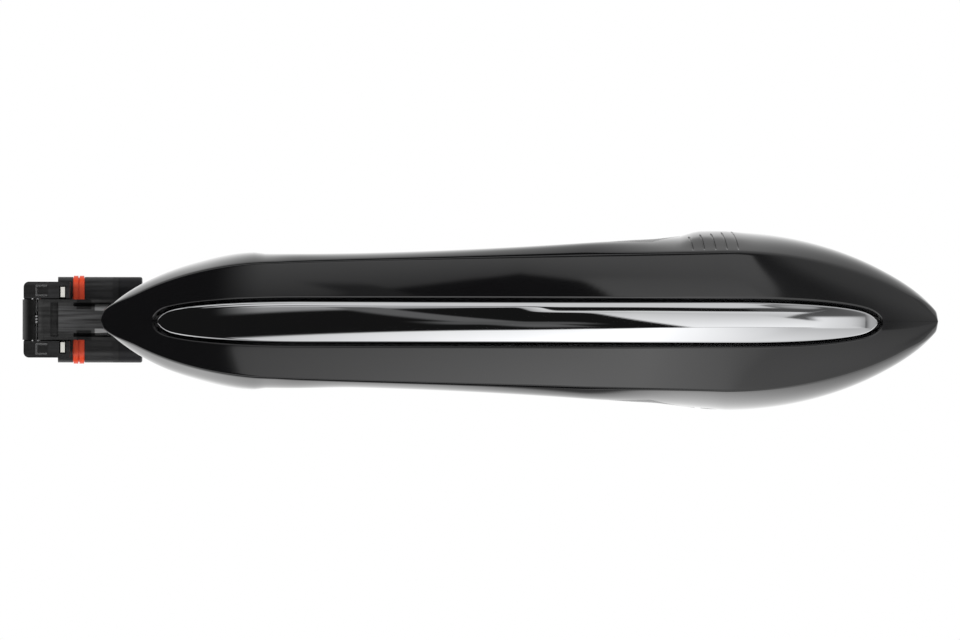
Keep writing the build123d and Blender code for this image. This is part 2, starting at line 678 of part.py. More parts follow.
with BuildPart() as groove_floor:
    with BuildSketch(across(PAD_X - PAD_LENGTH)):
        with Locations((half_width(PAD_X) - WALL_RADIUS, widest_height(PAD_X))):
            Circle(WALL_RADIUS + PAD_PROUD - GROOVE_DEPTH)
    extrude(amount=2 * PAD_LENGTH)

with BuildPart() as raised_field:
    with BuildSketch(pad_plane(1.0)):
        RectangleRounded(PAD_LENGTH + 3, PAD_HEIGHT + 3, PAD_CORNER)
    extrude(amount=2.2, taper=PAD_EDGE_LEAN)
    add(wall_disc.part, mode=Mode.INTERSECT)

with BuildPart() as groove_rows:
    with BuildSketch(pad_plane(4)):
        for n, length in enumerate(GROOVE_LENGTHS):
            x = (n - (len(GROOVE_LENGTHS) - 1) / 2) * GROOVE_PITCH
            lean = sin(radians(GROOVE_SLANT)) * length / 2
            with Locations(Location((x - lean, -GROOVE_OUTER_END + length / 2, 0), (0, 0, GROOVE_SLANT))):
                RectangleRounded(GROOVE_WIDTH, length, GROOVE_WIDTH * 0.45)
    extrude(amount=9)

with BuildPart() as outer_shell:
    add(GRIP_BODY)
    add(raised_field.part)
    add(cover_region.part, mode=Mode.SUBTRACT)
    add(cavity_form.part - bosses.part, mode=Mode.SUBTRACT)
    # recess of the trim strip
    add(recess_outline.part & arch_ring(TRIM_BACK + TRIM_TAPE, -8), mode=Mode.SUBTRACT)
    # grooves of the touch field, and the sensor's seat behind it
    add(groove_rows.part - groove_floor.part, mode=Mode.SUBTRACT)
    with BuildSketch(pad_plane(SENSOR_SEAT)):
        Rectangle(SENSOR_LENGTH + 0.4, SENSOR_HEIGHT + 0.4)
    extrude(amount=-9, mode=Mode.SUBTRACT)
    # seats of the aerial's rod
    add(slab(ROD_X - SPIGOT_CLEARANCE, ROD_X + ROD_LENGTH + SPIGOT_CLEARANCE, ROD_Y, ROD_Y + ROD_HEIGHT,
             ROD_Z - ROD_WIDTH / 2 - SPIGOT_CLEARANCE, ROD_Z + ROD_WIDTH / 2 + SPIGOT_CLEARANCE),
        mode=Mode.SUBTRACT)
    # screw holes
    add(rod_along_y(ARM_SCREW_PLACES + HOOK_SCREW_PLACES, SCREW_RADIUS,
                    HEAD_SEAT_Y, HEAD_SEAT_Y - ARM_SCREW_LENGTH - 0.3), mode=Mode.SUBTRACT)
    add(rod_along_y(COVER_SCREW_PLACES, SCREW_RADIUS, COVER_SEAT_Y,
                    COVER_SEAT_Y - COVER_SCREW_LENGTH - 0.3), mode=Mode.SUBTRACT)
    add(rod_along_y(BOARD_SCREW_PLACES, BOARD_SCREW_RADIUS, BOARD_Y + BOARD_THICKNESS,
                    BOARD_Y + BOARD_THICKNESS - BOARD_SCREW_LENGTH - 0.2), mode=Mode.SUBTRACT)
outer_shell.part.label = "outer_shell"

with BuildPart() as inner_cover:
    add(GRIP_BODY & cover_region.part)
    add(cavity_form.part - rod_along_y(COVER_SCREW_PLACES[1:], SCREW_HEAD_RADIUS + 1.2, BASE_Y, COVER_BOSS_Y),
        mode=Mode.SUBTRACT)
    # windows for the arm, the lead and the hook
    add(slab(ARM_LEG_X - WINDOW_CLEARANCE, ARM_LEG_X + ARM_LEG_LENGTH + WINDOW_CLEARANCE, BASE_Y + 5,
             BASE_Y - 8, -ARM_LEG_HALF_WIDTH - WINDOW_CLEARANCE, ARM_LEG_HALF_WIDTH + WINDOW_CLEARANCE),
        mode=Mode.SUBTRACT)
    add(rod_along_y([(LEAD_X, 0)], LEAD_RADIUS + WINDOW_CLEARANCE, BASE_Y + 5, BASE_Y - 8),
        mode=Mode.SUBTRACT)
    add(slab(HOOK_X - WINDOW_CLEARANCE, HOOK_X + HOOK_LENGTH + WINDOW_CLEARANCE, BASE_Y + 5, BASE_Y - 8,
             -HOOK_HALF_WIDTH - WINDOW_CLEARANCE, HOOK_HALF_WIDTH + WINDOW_CLEARANCE), mode=Mode.SUBTRACT)
    # screw holes with counterbores
    add(rod_along_y(COVER_SCREW_PLACES, SCREW_RADIUS + HOLE_CLEARANCE, BASE_Y + 1, BASE_Y - 9),
        mode=Mode.SUBTRACT)
    add(rod_along_y(COVER_SCREW_PLACES, SCREW_HEAD_RADIUS + HOLE_CLEARANCE, BASE_Y + 1, COVER_SEAT_Y),
        mode=Mode.SUBTRACT)
    # slot of the light guide
    add(arch_ring(GRIP_DEPTH + 2, GRIP_DEPTH - CAVITY_FLOOR - 1)
        & slab(LIGHT_START - SPIGOT_CLEARANCE, LIGHT_END + SPIGOT_CLEARANCE, -45, 0,
               LIGHT_Z - LIGHT_WIDTH / 2 - SPIGOT_CLEARANCE, LIGHT_Z + LIGHT_WIDTH / 2 + SPIGOT_CLEARANCE),
        mode=Mode.SUBTRACT)
inner_cover.part.label = "inner_cover"


with BuildPart() as trim_strip:
    with BuildSketch(Plane(origin=(ARCH_X, ARCH_Y, 0), x_dir=(0, -1, 0), z_dir=(1, 0, 0))):
        with BuildLine():
            crest = ARCH_RADIUS + TRIM_PROUD
            edge = crest - TRIM_CROWN_RADIUS + sqrt(TRIM_CROWN_RADIUS**2 - 6.0**2)
            ThreePointArc((edge, -6.0), (crest, 0), (edge, 6.0))
            Polyline((edge, 6.0), (ARCH_RADIUS - TRIM_BACK, 6.0), (ARCH_RADIUS - TRIM_BACK, -6.0), (edge, -6.0))
        make_face()
    revolve(axis=Axis((ARCH_X, ARCH_Y, 0), (0, 0, 1)), revolution_arc=360)
    add(trim_outline.part, mode=Mode.INTERSECT)
trim_strip.part.label = "trim_strip"

with BuildPart() as trim_tape:
    add(trim_outline.part & arch_ring(TRIM_BACK + TRIM_TAPE, TRIM_BACK))
    add(slab(TRIM_FRONT_X + TRIM_TAPE_END, TRIM_REAR_X - TRIM_TAPE_END, -REACH, 0,
             -TRIM_HALF_WIDTH + TRIM_TAPE_INSET, TRIM_HALF_WIDTH - TRIM_TAPE_INSET), mode=Mode.INTERSECT)
trim_tape.part.label = "trim_tape"


def foot_gasket(front_x, rear_x):
    """Soft pad on the base of a foot, with the foot's own outline."""
    with BuildPart() as pad:
        add(grip_form.part)
        add(slab(front_x, rear_x, BASE_Y, BASE_Y - 1, -REACH, REACH), mode=Mode.INTERSECT)
        outline = pad.faces().sort_by(Axis.Y)[-1].moved(Location((0, -GASKET_THICKNESS, 0)))
    with BuildPart() as made:
        add(extrude(outline, amount=4 * GASKET_THICKNESS, dir=(0, 1, 0)))
        add(slab(front_x - 1, rear_x + 1, BASE_Y, SKIN_Y, -REACH, REACH), mode=Mode.INTERSECT)
    return made.part


with BuildPart() as front_gasket:
    add(foot_gasket(GRIP_FRONT_X, GAP_FRONT_X - 1.5))
    add(slab(ARM_LEG_X - WINDOW_CLEARANCE, ARM_LEG_X + ARM_LEG_LENGTH + WINDOW_CLEARANCE, 0, -20,
             -ARM_LEG_HALF_WIDTH - WINDOW_CLEARANCE, ARM_LEG_HALF_WIDTH + WINDOW_CLEARANCE),
        mode=Mode.SUBTRACT)
    add(rod_along_y([(LEAD_X, 0)], LEAD_RADIUS + WINDOW_CLEARANCE, 0, -20), mode=Mode.SUBTRACT)
front_gasket.part.label = "front_gasket"

with BuildPart() as rear_gasket:
    add(foot_gasket(GAP_REAR_X + 1.5, GRIP_REAR_X))
    add(slab(HOOK_X - WINDOW_CLEARANCE, HOOK_X + HOOK_LENGTH + WINDOW_CLEARANCE, 0, -20,
             -HOOK_HALF_WIDTH - WINDOW_CLEARANCE, HOOK_HALF_WIDTH + WINDOW_CLEARANCE), mode=Mode.SUBTRACT)
rear_gasket.part.label = "rear_gasket"

with BuildPart() as cover_screws:
    add(screws(COVER_SCREW_PLACES, COVER_SEAT_Y, COVER_SCREW_LENGTH, SCREW_RADIUS,
               SCREW_HEAD_RADIUS, SCREW_HEAD_HEIGHT, SOCKET_RADIUS))
cover_screws.part.label = "cover_screws"

# ---------------------------------------------------------------- hinge arm

with BuildPart() as hinge_arm:
    # knuckle, beam and leg
    with BuildSketch(Plane.XY.offset(-ARM_HALF_WIDTH)):
        Circle(KNUCKLE_RADIUS)
        with BuildLine():
            Polyline((0, ARM_BACK_Y), (ARM_LEG_X + ARM_LEG_LENGTH, ARM_BACK_Y),
                     (ARM_LEG_X + ARM_LEG_LENGTH, ARM_FRONT_Y), (0, ARM_FRONT_Y), close=True)
        make_face()
    extrude(amount=2 * ARM_HALF_WIDTH)
    add(slab(ARM_LEG_X, ARM_LEG_X + ARM_LEG_LENGTH, ARM_BACK_Y, FLANGE_BACK_Y - 1,
             -ARM_LEG_HALF_WIDTH, ARM_LEG_HALF_WIDTH))
    with BuildSketch(Plane.XY.offset(-ARM_LEG_HALF_WIDTH + 0.6)):
        with BuildLine():
            Polyline((ARM_LEG_X - GUSSET_RADIUS, ARM_FRONT_Y), (ARM_LEG_X, ARM_FRONT_Y - GUSSET_RADIUS),
                     (ARM_LEG_X, ARM_FRONT_Y), close=True)
        make_face()
    extrude(amount=2 * ARM_LEG_HALF_WIDTH - 1.2)
    # flange inside the grip, forked round the lead
    with BuildSketch(facing_in(0, FLANGE_FRONT_Y)):
        with BuildLine():
            Polyline(
                (ARM_LEG_X, ARM_LEG_HALF_WIDTH), (ARM_LEG_X + ARM_LEG_LENGTH, ARM_LEG_HALF_WIDTH + 1.6),
                (ARM_SCREW_X - 5, FLANGE_HALF_WIDTH - 1), (ARM_FLANGE_END_X, FLANGE_HALF_WIDTH),
                (ARM_FLANGE_END_X, -FLANGE_HALF_WIDTH), (ARM_SCREW_X - 5, -FLANGE_HALF_WIDTH + 1),
                (ARM_LEG_X + ARM_LEG_LENGTH, -ARM_LEG_HALF_WIDTH - 1.6), (ARM_LEG_X, -ARM_LEG_HALF_WIDTH),
                close=True,
            )
        make_face()
    extrude(amount=FLANGE_THICKNESS)
    with BuildSketch(facing_in(0, FLANGE_FRONT_Y)):
        with Locations((LEAD_X, 0)):
            Circle(LEAD_CHANNEL / 2)
        with Locations(((LEAD_X + ARM_FLANGE_END_X + 1) / 2, 0)):
            Rectangle(ARM_FLANGE_END_X + 1 - LEAD_X, LEAD_CHANNEL)
    extrude(amount=FLANGE_THICKNESS, mode=Mode.SUBTRACT)
    # side channels beside the web, and the dip behind the knuckle
    for side in (-1, 1):
        add(slab(ARM_CHANNEL_X, ARM_LEG_X - GUSSET_RADIUS, ARM_FRONT_Y, ARM_FRONT_Y + ARM_CHANNEL_DEPTH,
                 side * ARM_WEB_HALF_WIDTH, side * (ARM_HALF_WIDTH - ARM_RAIL)), mode=Mode.SUBTRACT)
    add(slab(ARM_DIP_X + 2, ARM_DIP_END_X, ARM_FRONT_Y, ARM_FRONT_Y + ARM_DIP_DEPTH,
             -ARM_HALF_WIDTH + ARM_RAIL, ARM_HALF_WIDTH - ARM_RAIL), mode=Mode.SUBTRACT)
    # bore for the bushes, pocket for the spring, slot in front of the pin
    Cylinder(BUSH_RADIUS, 2 * ARM_HALF_WIDTH, mode=Mode.SUBTRACT)
    Cylinder(SPRING_POCKET_RADIUS, 2 * SPRING_POCKET_HALF_WIDTH, mode=Mode.SUBTRACT)
    for side in (-1, 1):
        with Locations((0, 0, side * ARM_HALF_WIDTH)):
            Cylinder(BUSH_FLANGE_RADIUS, 2 * BUSH_FLANGE, mode=Mode.SUBTRACT)
    add(slab(COIL_RADIUS - 1.3, COIL_RADIUS + 0.7, 0, KNUCKLE_RADIUS + 1, -SPRING_POCKET_HALF_WIDTH,
             SPRING_POCKET_HALF_WIDTH), mode=Mode.SUBTRACT)
    add(slab(-PIN_SLOT_WIDTH / 2, PIN_SLOT_WIDTH / 2, 0, -KNUCKLE_RADIUS - 1, -ARM_HALF_WIDTH,
             ARM_HALF_WIDTH), mode=Mode.SUBTRACT)
    # screw holes
    add(rod_along_y(ARM_SCREW_PLACES, SCREW_RADIUS + HOLE_CLEARANCE, 0, -20), mode=Mode.SUBTRACT)
    add(rod_along_y(ARM_SCREW_PLACES, SCREW_HEAD_RADIUS + HOLE_CLEARANCE, HEAD_SEAT_Y, FLANGE_BACK_Y + 1),
        mode=Mode.SUBTRACT)
hinge_arm.part.label = "hinge_arm"

with BuildPart() as arm_bushes:
    for side in (-1, 1):
        with Locations((0, 0, side * (ARM_HALF_WIDTH - BUSH_LENGTH / 2))):
            Cylinder(BUSH_RADIUS, BUSH_LENGTH)
        with Locations((0, 0, side * (ARM_HALF_WIDTH - BUSH_FLANGE / 2))):
            Cylinder(BUSH_FLANGE_RADIUS, BUSH_FLANGE)
    Cylinder(PIN_RADIUS + RUNNING_CLEARANCE, 2 * ARM_HALF_WIDTH, mode=Mode.SUBTRACT)
    add(slab(-PIN_SLOT_WIDTH / 2, PIN_SLOT_WIDTH / 2, 0, -KNUCKLE_RADIUS - 1, -ARM_HALF_WIDTH,
             ARM_HALF_WIDTH), mode=Mode.SUBTRACT)
arm_bushes.part.label = "arm_bushes"

with BuildPart() as arm_screws:
    add(screws(ARM_SCREW_PLACES, HEAD_SEAT_Y, ARM_SCREW_LENGTH, SCREW_RADIUS,
               SCREW_HEAD_RADIUS, SCREW_HEAD_HEIGHT, SOCKET_RADIUS))
arm_screws.part.label = "arm_screws"

# ---------------------------------------------------------------- rear hook

with BuildPart() as rear_hook:
    with BuildSketch(Plane.XY.offset(-HOOK_HALF_WIDTH)):
        with BuildLine():
            Polyline((HOOK_X, FLANGE_FRONT_Y), (HOOK_X + HOOK_LENGTH, FLANGE_FRONT_Y),
                     (HOOK_X + HOOK_LENGTH, HOOK_TIP_Y), (HOOK_X, HOOK_TIP_Y), close=True)
        make_face()
        fillet(vertices().group_by(Axis.Y)[-1], HOOK_CORNER)
    extrude(amount=2 * HOOK_HALF_WIDTH)
    # notch that the latch lever drops into
    add(slab(HOOK_X - 1, HOOK_X + HOOK_SLOT_DEPTH, HOOK_SLOT_Y, HOOK_SLOT_Y + HOOK_SLOT_WIDTH,
             -HOOK_HALF_WIDTH, HOOK_HALF_WIDTH), mode=Mode.SUBTRACT)
    # lightening pockets
    for side in (-1, 1):
        add(slab(HOOK_X + 1.8, HOOK_X + HOOK_LENGTH - 1.8, HOOK_SLOT_Y - 3, BASE_Y + 7.5,
                 side * (HOOK_HALF_WIDTH - 1.5), side * (HOOK_HALF_WIDTH + 1)), mode=Mode.SUBTRACT)
    with BuildSketch(facing_in(HOOK_X + HOOK_LENGTH / 2 + (HOOK_FLANGE_REAR - HOOK_FLANGE_FRONT) / 2,
                               FLANGE_FRONT_Y)):
        RectangleRounded(HOOK_FLANGE_FRONT + HOOK_LENGTH + HOOK_FLANGE_REAR, 2 * HOOK_FLANGE_HALF_WIDTH, 3)
    extrude(amount=FLANGE_THICKNESS)
    add(rod_along_y(HOOK_SCREW_PLACES, SCREW_RADIUS + HOLE_CLEARANCE, FLANGE_BACK_Y + 1, -20),
        mode=Mode.SUBTRACT)
    add(rod_along_y(HOOK_SCREW_PLACES, SCREW_HEAD_RADIUS + HOLE_CLEARANCE, HEAD_SEAT_Y, FLANGE_BACK_Y + 1),
        mode=Mode.SUBTRACT)
rear_hook.part.label = "rear_hook"

with BuildPart() as hook_screws:
    add(screws(HOOK_SCREW_PLACES, HEAD_SEAT_Y, ARM_SCREW_LENGTH, SCREW_RADIUS,
               SCREW_HEAD_RADIUS, SCREW_HEAD_HEIGHT, SOCKET_RADIUS))
hook_screws.part.label = "hook_screws"

with BuildPart() as hook_buffer:
    add(slab(HOOK_X - BUFFER_WALL, HOOK_X + HOOK_LENGTH + BUFFER_WALL, BUFFER_Y, BUFFER_Y + BUFFER_LENGTH,
             -HOOK_HALF_WIDTH - BUFFER_WALL, HOOK_HALF_WIDTH + BUFFER_WALL))
    fillet(hook_buffer.edges().filter_by(Axis.Y), BUFFER_WALL * 0.9)
    add(slab(HOOK_X, HOOK_X + HOOK_LENGTH, -20, 20, -HOOK_HALF_WIDTH, HOOK_HALF_WIDTH), mode=Mode.SUBTRACT)
hook_buffer.part.label = "hook_buffer"

# ---------------------------------------------------------------- lock sensor

with BuildPart() as lock_electrode:
    with BuildSketch(pad_plane(SENSOR_SEAT + SENSOR_FOIL)):
        Rectangle(SENSOR_LENGTH - 1, SENSOR_HEIGHT - 1)
    extrude(amount=SENSOR_FOIL)
lock_electrode.part.label = "lock_electrode"

with BuildPart() as sensor_board:
    with BuildSketch(pad_plane(SENSOR_BACK)):
        Rectangle(SENSOR_LENGTH, SENSOR_HEIGHT)
    extrude(amount=BOARD_THICKNESS)
sensor_board.part.label = "sensor_board"

# ---------------------------------------------------------------- electronics

BOARD_BACK_Y = BOARD_Y + BOARD_THICKNESS

with BuildPart() as circuit_board:
    add(slab(BOARD_X, BOARD_X + BOARD_LENGTH, BOARD_Y, BOARD_BACK_Y, -BOARD_HALF_WIDTH, BOARD_HALF_WIDTH))
    fillet(circuit_board.edges().filter_by(Axis.Y), 1.2)
    add(rod_along_y(BOARD_SCREW_PLACES, BOARD_SCREW_RADIUS + HOLE_CLEARANCE, -20, -40), mode=Mode.SUBTRACT)
circuit_board.part.label = "circuit_board"

with BuildPart() as board_screws:
    add(screws(BOARD_SCREW_PLACES, BOARD_BACK_Y, BOARD_SCREW_LENGTH, BOARD_SCREW_RADIUS,
               BOARD_SCREW_HEAD_RADIUS, BOARD_SCREW_HEAD, SOCKET_RADIUS * 0.6))
board_screws.part.label = "board_screws"

with BuildPart() as board_chips:
    for x, z, size in ((CHIP_X, CHIP_Z, CHIP_SIZE), (SECOND_CHIP_X, SECOND_CHIP_Z, SMALL_CHIP_SIZE),
                       (THIRD_CHIP_X, THIRD_CHIP_Z, SMALL_CHIP_SIZE)):
        add(slab(x - size / 2, x + size / 2, BOARD_BACK_Y, BOARD_BACK_Y + CHIP_HEIGHT,
                 z - size / 2, z + size / 2))
board_chips.part.label = "board_chips"

LIGHT_X = (LIGHT_START + LIGHT_END) / 2
with BuildPart() as courtesy_led:
    add(slab(LIGHT_X - LED_SIZE / 2, LIGHT_X + LED_SIZE / 2, BOARD_BACK_Y, BOARD_BACK_Y + LED_HEIGHT,
             LIGHT_Z - LED_SIZE / 2, LIGHT_Z + LED_SIZE / 2))
courtesy_led.part.label = "courtesy_led"

PLUG_X = BOARD_X + 1
with BuildPart() as board_connector:
    add(slab(PLUG_X, PLUG_X + CONNECTOR_LENGTH, BOARD_BACK_Y, BOARD_BACK_Y + CONNECTOR_HEIGHT,
             -CONNECTOR_WIDTH / 2, CONNECTOR_WIDTH / 2))
board_connector.part.label = "board_connector"

with BuildPart() as light_guide:
    add(arch_ring(GRIP_DEPTH - 0.1, GRIP_DEPTH - CAVITY_FLOOR - LIGHT_LIP)
        & slab(LIGHT_START, LIGHT_END, -45, 0, LIGHT_Z - LIGHT_WIDTH / 2, LIGHT_Z + LIGHT_WIDTH / 2))
    add(arch_ring(GRIP_DEPTH - CAVITY_FLOOR, GRIP_DEPTH - CAVITY_FLOOR - LIGHT_LIP)
        & slab(LIGHT_START - LIGHT_FLANGE, LIGHT_END + LIGHT_FLANGE, -45, 0,
               LIGHT_Z - LIGHT_WIDTH / 2 - LIGHT_FLANGE, LIGHT_Z + LIGHT_WIDTH / 2 + LIGHT_FLANGE))
light_guide.part.label = "light_guide"

with BuildPart() as unlock_electrode:
    add(arch_ring(GRIP_DEPTH - CAVITY_FLOOR, GRIP_DEPTH - CAVITY_FLOOR - ELECTRODE_THICKNESS)
        & slab(ELECTRODE_START, ELECTRODE_END, -45, 0, ELECTRODE_Z - ELECTRODE_HALF_WIDTH,
               ELECTRODE_Z + ELECTRODE_HALF_WIDTH))
unlock_electrode.part.label = "unlock_electrode"

with BuildPart() as aerial_rod:
    add(slab(ROD_X, ROD_X + ROD_LENGTH, ROD_Y, ROD_Y + ROD_HEIGHT, ROD_Z - ROD_WIDTH / 2,
             ROD_Z + ROD_WIDTH / 2))
aerial_rod.part.label = "aerial_rod"

COIL_X = ROD_X + (ROD_LENGTH - COIL_LENGTH) / 2
with BuildPart() as aerial_coil:
    add(slab(COIL_X, COIL_X + COIL_LENGTH, ROD_Y - COIL_WALL, ROD_Y + ROD_HEIGHT + COIL_WALL,
             ROD_Z - ROD_WIDTH / 2 - COIL_WALL, ROD_Z + ROD_WIDTH / 2 + COIL_WALL))
    fillet(aerial_coil.edges().filter_by(Axis.X), COIL_WALL)
    add(aerial_rod.part, mode=Mode.SUBTRACT)
aerial_coil.part.label = "aerial_coil"

# ---------------------------------------------------------------- hinge block and plug

NOSE_BACK_Y = BLOCK_BACK_Y - 0.8
PLUG_MIDDLE_Y = (BLOCK_FRONT_Y + BLOCK_BACK_Y) / 2
PLUG_DEPTH = BLOCK_BACK_Y - BLOCK_FRONT_Y


def plug_plane(x):
    """Plane across the plug, with its x along Y and its y along Z."""
    return Plane(origin=(x, PLUG_MIDDLE_Y, 0), x_dir=(0, 1, 0), z_dir=(1, 0, 0))


def plug_section(x, grow=0.0):
    """Rounded outline of the plug across x, grown on every side."""
    with BuildSketch(plug_plane(x)) as outline:
        RectangleRounded(PLUG_DEPTH + 2 * grow, 2 * (PLUG_HALF_WIDTH + grow), PLUG_CORNER + min(grow, 0))
    return outline.sketch


CHEEK_WIDTH = BLOCK_NOSE_HALF_WIDTH - CHEEK_INNER_Z
INSERT_PLACES = [(INSERT_X, side * INSERT_SPACING / 2) for side in (-1, 1)]
LOCK_WINDOW_INNER_Z = LOCK_INNER_Z - SLIDE_CLEARANCE
LOCK_WINDOW_OUTER_Z = LOCK_OUTER_Z + SLIDE_CLEARANCE

with BuildPart() as hinge_block:
    # nose behind the knuckle, with a cheek on each side of it
    add(slab(BLOCK_NOSE_FRONT_X, BLOCK_FLANGE_X + 1, BLOCK_FRONT_Y, NOSE_BACK_Y,
             -BLOCK_NOSE_HALF_WIDTH, BLOCK_NOSE_HALF_WIDTH))
    for side in (-1, 1):
        add(slab(BLOCK_NOSE_FRONT_X, CHEEK_REAR_X, CHEEK_FRONT_Y, NOSE_BACK_Y - 2,
                 side * CHEEK_INNER_Z, side * BLOCK_NOSE_HALF_WIDTH))
    fillet(hinge_block.edges().filter_by(Axis.Y)
           .filter_by_position(Axis.X, BLOCK_NOSE_FRONT_X - 0.1, BLOCK_NOSE_FRONT_X + 0.1)
           .group_by(Axis.Z)[0], BLOCK_NOSE_CORNER)
    fillet(hinge_block.edges().filter_by(Axis.Y)
           .filter_by_position(Axis.X, BLOCK_NOSE_FRONT_X - 0.1, BLOCK_NOSE_FRONT_X + 0.1)
           .group_by(Axis.Z)[-1], BLOCK_NOSE_CORNER)
    # plug: flange, waist under the seal, body
    add(extrude(plug_section(BLOCK_FLANGE_X), amount=SEAL_X - BLOCK_FLANGE_X))
    add(extrude(plug_section(SEAL_X, -SEAL_SEAT), amount=SEAL_WIDTH))
    add(extrude(plug_section(SEAL_X + SEAL_WIDTH), amount=PLUG_REAR_X - SEAL_X - SEAL_WIDTH))
    # pin bore
    Cylinder(PIN_RADIUS, 2 * BLOCK_NOSE_HALF_WIDTH + 1, mode=Mode.SUBTRACT)
    # grooves of the pin clips
    for side in (-1, 1):
        middle = side * CLIP_Z
        for z in (middle - CLIP_SPAN / 2, middle + CLIP_SPAN / 2):
            add(slab(-CLIP_WIRE / 2, CLIP_LEG + 0.1, CHEEK_FRONT_Y, CHEEK_FRONT_Y + CLIP_WIRE,
                     z - CLIP_WIRE / 2 - 0.02, z + CLIP_WIRE / 2 + 0.02), mode=Mode.SUBTRACT)
        add(slab(-CLIP_WIRE / 2, CLIP_WIRE / 2, CHEEK_FRONT_Y, CHEEK_FRONT_Y + CLIP_WIRE,
                 middle - CLIP_SPAN / 2, middle + CLIP_SPAN / 2), mode=Mode.SUBTRACT)
        # window of the terminal lock
        add(slab(LOCK_X - LOCK_THICKNESS / 2 - SLIDE_CLEARANCE, LOCK_X + LOCK_THICKNESS / 2 + SLIDE_CLEARANCE,
                 CHEEK_FRONT_Y - 1, LOCK_REST_Y + LOCK_DEPTH + LOCK_TRAVEL + 1,
                 side * LOCK_WINDOW_INNER_Z, side * LOCK_WINDOW_OUTER_Z), mode=Mode.SUBTRACT)
    add(slab(LOCK_X - LOCK_THICKNESS / 2 - SLIDE_CLEARANCE, LOCK_X + LOCK_THICKNESS / 2 + SLIDE_CLEARANCE,
             LOCK_REST_Y + LOCK_DEPTH - LOCK_BAR - SLIDE_CLEARANCE,
             LOCK_REST_Y + LOCK_DEPTH + LOCK_TRAVEL + SLIDE_CLEARANCE,
             -LOCK_WINDOW_OUTER_Z, LOCK_WINDOW_OUTER_Z), mode=Mode.SUBTRACT)
    # socket round the terminals
    add(slab(BLOCK_NOSE_FRONT_X - 1, BLOCK_NOSE_FRONT_X + SOCKET_DEPTH, SOCKET_FRONT_Y, SOCKET_BACK_Y,
             -SOCKET_HALF_WIDTH, SOCKET_HALF_WIDTH), mode=Mode.SUBTRACT)
    for n in range(TERMINAL_COUNT):
        z = (n - (TERMINAL_COUNT - 1) / 2) * TERMINAL_PITCH
        add(slab(0, BLOCK_NOSE_FRONT_X + SOCKET_DEPTH + TERMINAL_SEATING, LEAD_Y - TERMINAL_SIZE / 2,
                 LEAD_Y + TERMINAL_SIZE / 2, z - TERMINAL_SIZE / 2, z + TERMINAL_SIZE / 2),
            mode=Mode.SUBTRACT)
    # seats of the spring's fixed leg, the bumper, the lead and the threaded inserts
    add(rod_along_y([(COIL_RADIUS, -COIL_TURNS * COIL_PITCH / 2)], WIRE_RADIUS + SPIGOT_CLEARANCE,
                    BLOCK_FRONT_Y - 1, SPRING_LEG_Y), mode=Mode.SUBTRACT)
    add(rod_along_y([(BUMPER_X, 0)], BUMPER_STEM_RADIUS, BLOCK_FRONT_Y, BLOCK_FRONT_Y + 2),
        mode=Mode.SUBTRACT)
    with BuildSketch(Plane(origin=(PLUG_REAR_X - 3, LEAD_Y, 0), x_dir=(0, 1, 0), z_dir=(1, 0, 0))):
        Circle(LEAD_RADIUS)
    extrude(amount=5, mode=Mode.SUBTRACT)
    add(rod_along_y(INSERT_PLACES, INSERT_RADIUS, BLOCK_BACK_Y, BLOCK_BACK_Y - INSERT_LENGTH),
        mode=Mode.SUBTRACT)
    add(rod_along_y(INSERT_PLACES, INSERT_BORE_RADIUS, BLOCK_BACK_Y,
                    BLOCK_BACK_Y - INSERT_LENGTH - INSERT_END_GAP), mode=Mode.SUBTRACT)
hinge_block.part.label = "hinge_block"

with BuildPart() as hinge_pin:
    Cylinder(PIN_RADIUS, PIN_LENGTH)
    chamfer(hinge_pin.edges(), 0.2)
hinge_pin.part.label = "hinge_pin"

with BuildPart() as pin_clips:
    for side in (-1, 1):
        middle = side * CLIP_Z
        for z in (middle - CLIP_SPAN / 2, middle + CLIP_SPAN / 2):
            add(slab(-CLIP_WIRE / 2, CLIP_LEG, CHEEK_FRONT_Y, CHEEK_FRONT_Y + CLIP_WIRE,
                     z - CLIP_WIRE / 2, z + CLIP_WIRE / 2))
        add(slab(-CLIP_WIRE / 2, CLIP_WIRE / 2, CHEEK_FRONT_Y, CHEEK_FRONT_Y + CLIP_WIRE,
                 middle - CLIP_SPAN / 2, middle + CLIP_SPAN / 2))
pin_clips.part.label = "pin_clips"

with BuildPart() as plug_seal:
    add(extrude(plug_section(SEAL_X + 0.05, SEAL_PROUD - SEAL_LIP), amount=SEAL_WIDTH - 0.1))
    for n in range(2):
        lip_x = SEAL_X + 0.25 + n * (SEAL_WIDTH - 1.6)
        add(extrude(plug_section(lip_x, SEAL_PROUD), amount=1.1))
    add(extrude(plug_section(SEAL_X - 1, -SEAL_SEAT), amount=SEAL_WIDTH + 2), mode=Mode.SUBTRACT)
plug_seal.part.label = "plug_seal"

with BuildPart() as plug_terminals:
    for n in range(TERMINAL_COUNT):
        z = (n - (TERMINAL_COUNT - 1) / 2) * TERMINAL_PITCH
        end = BLOCK_NOSE_FRONT_X + SOCKET_DEPTH + TERMINAL_SEATING
        add(slab(end - TERMINAL_LENGTH, end, LEAD_Y - TERMINAL_SIZE / 2, LEAD_Y + TERMINAL_SIZE / 2,
                 z - TERMINAL_SIZE / 2, z + TERMINAL_SIZE / 2))
plug_terminals.part.label = "plug_terminals"

with BuildPart() as threaded_inserts:
    for location in on_plane(BLOCK_BACK_Y - INSERT_LENGTH, INSERT_PLACES):
        with Locations(location):
            Cylinder(INSERT_RADIUS, INSERT_LENGTH, align=(Align.CENTER, Align.CENTER, Align.MIN))
            Cylinder(INSERT_BORE_RADIUS, INSERT_LENGTH, align=(Align.CENTER, Align.CENTER, Align.MIN),
                     mode=Mode.SUBTRACT)
threaded_inserts.part.label = "threaded_inserts"

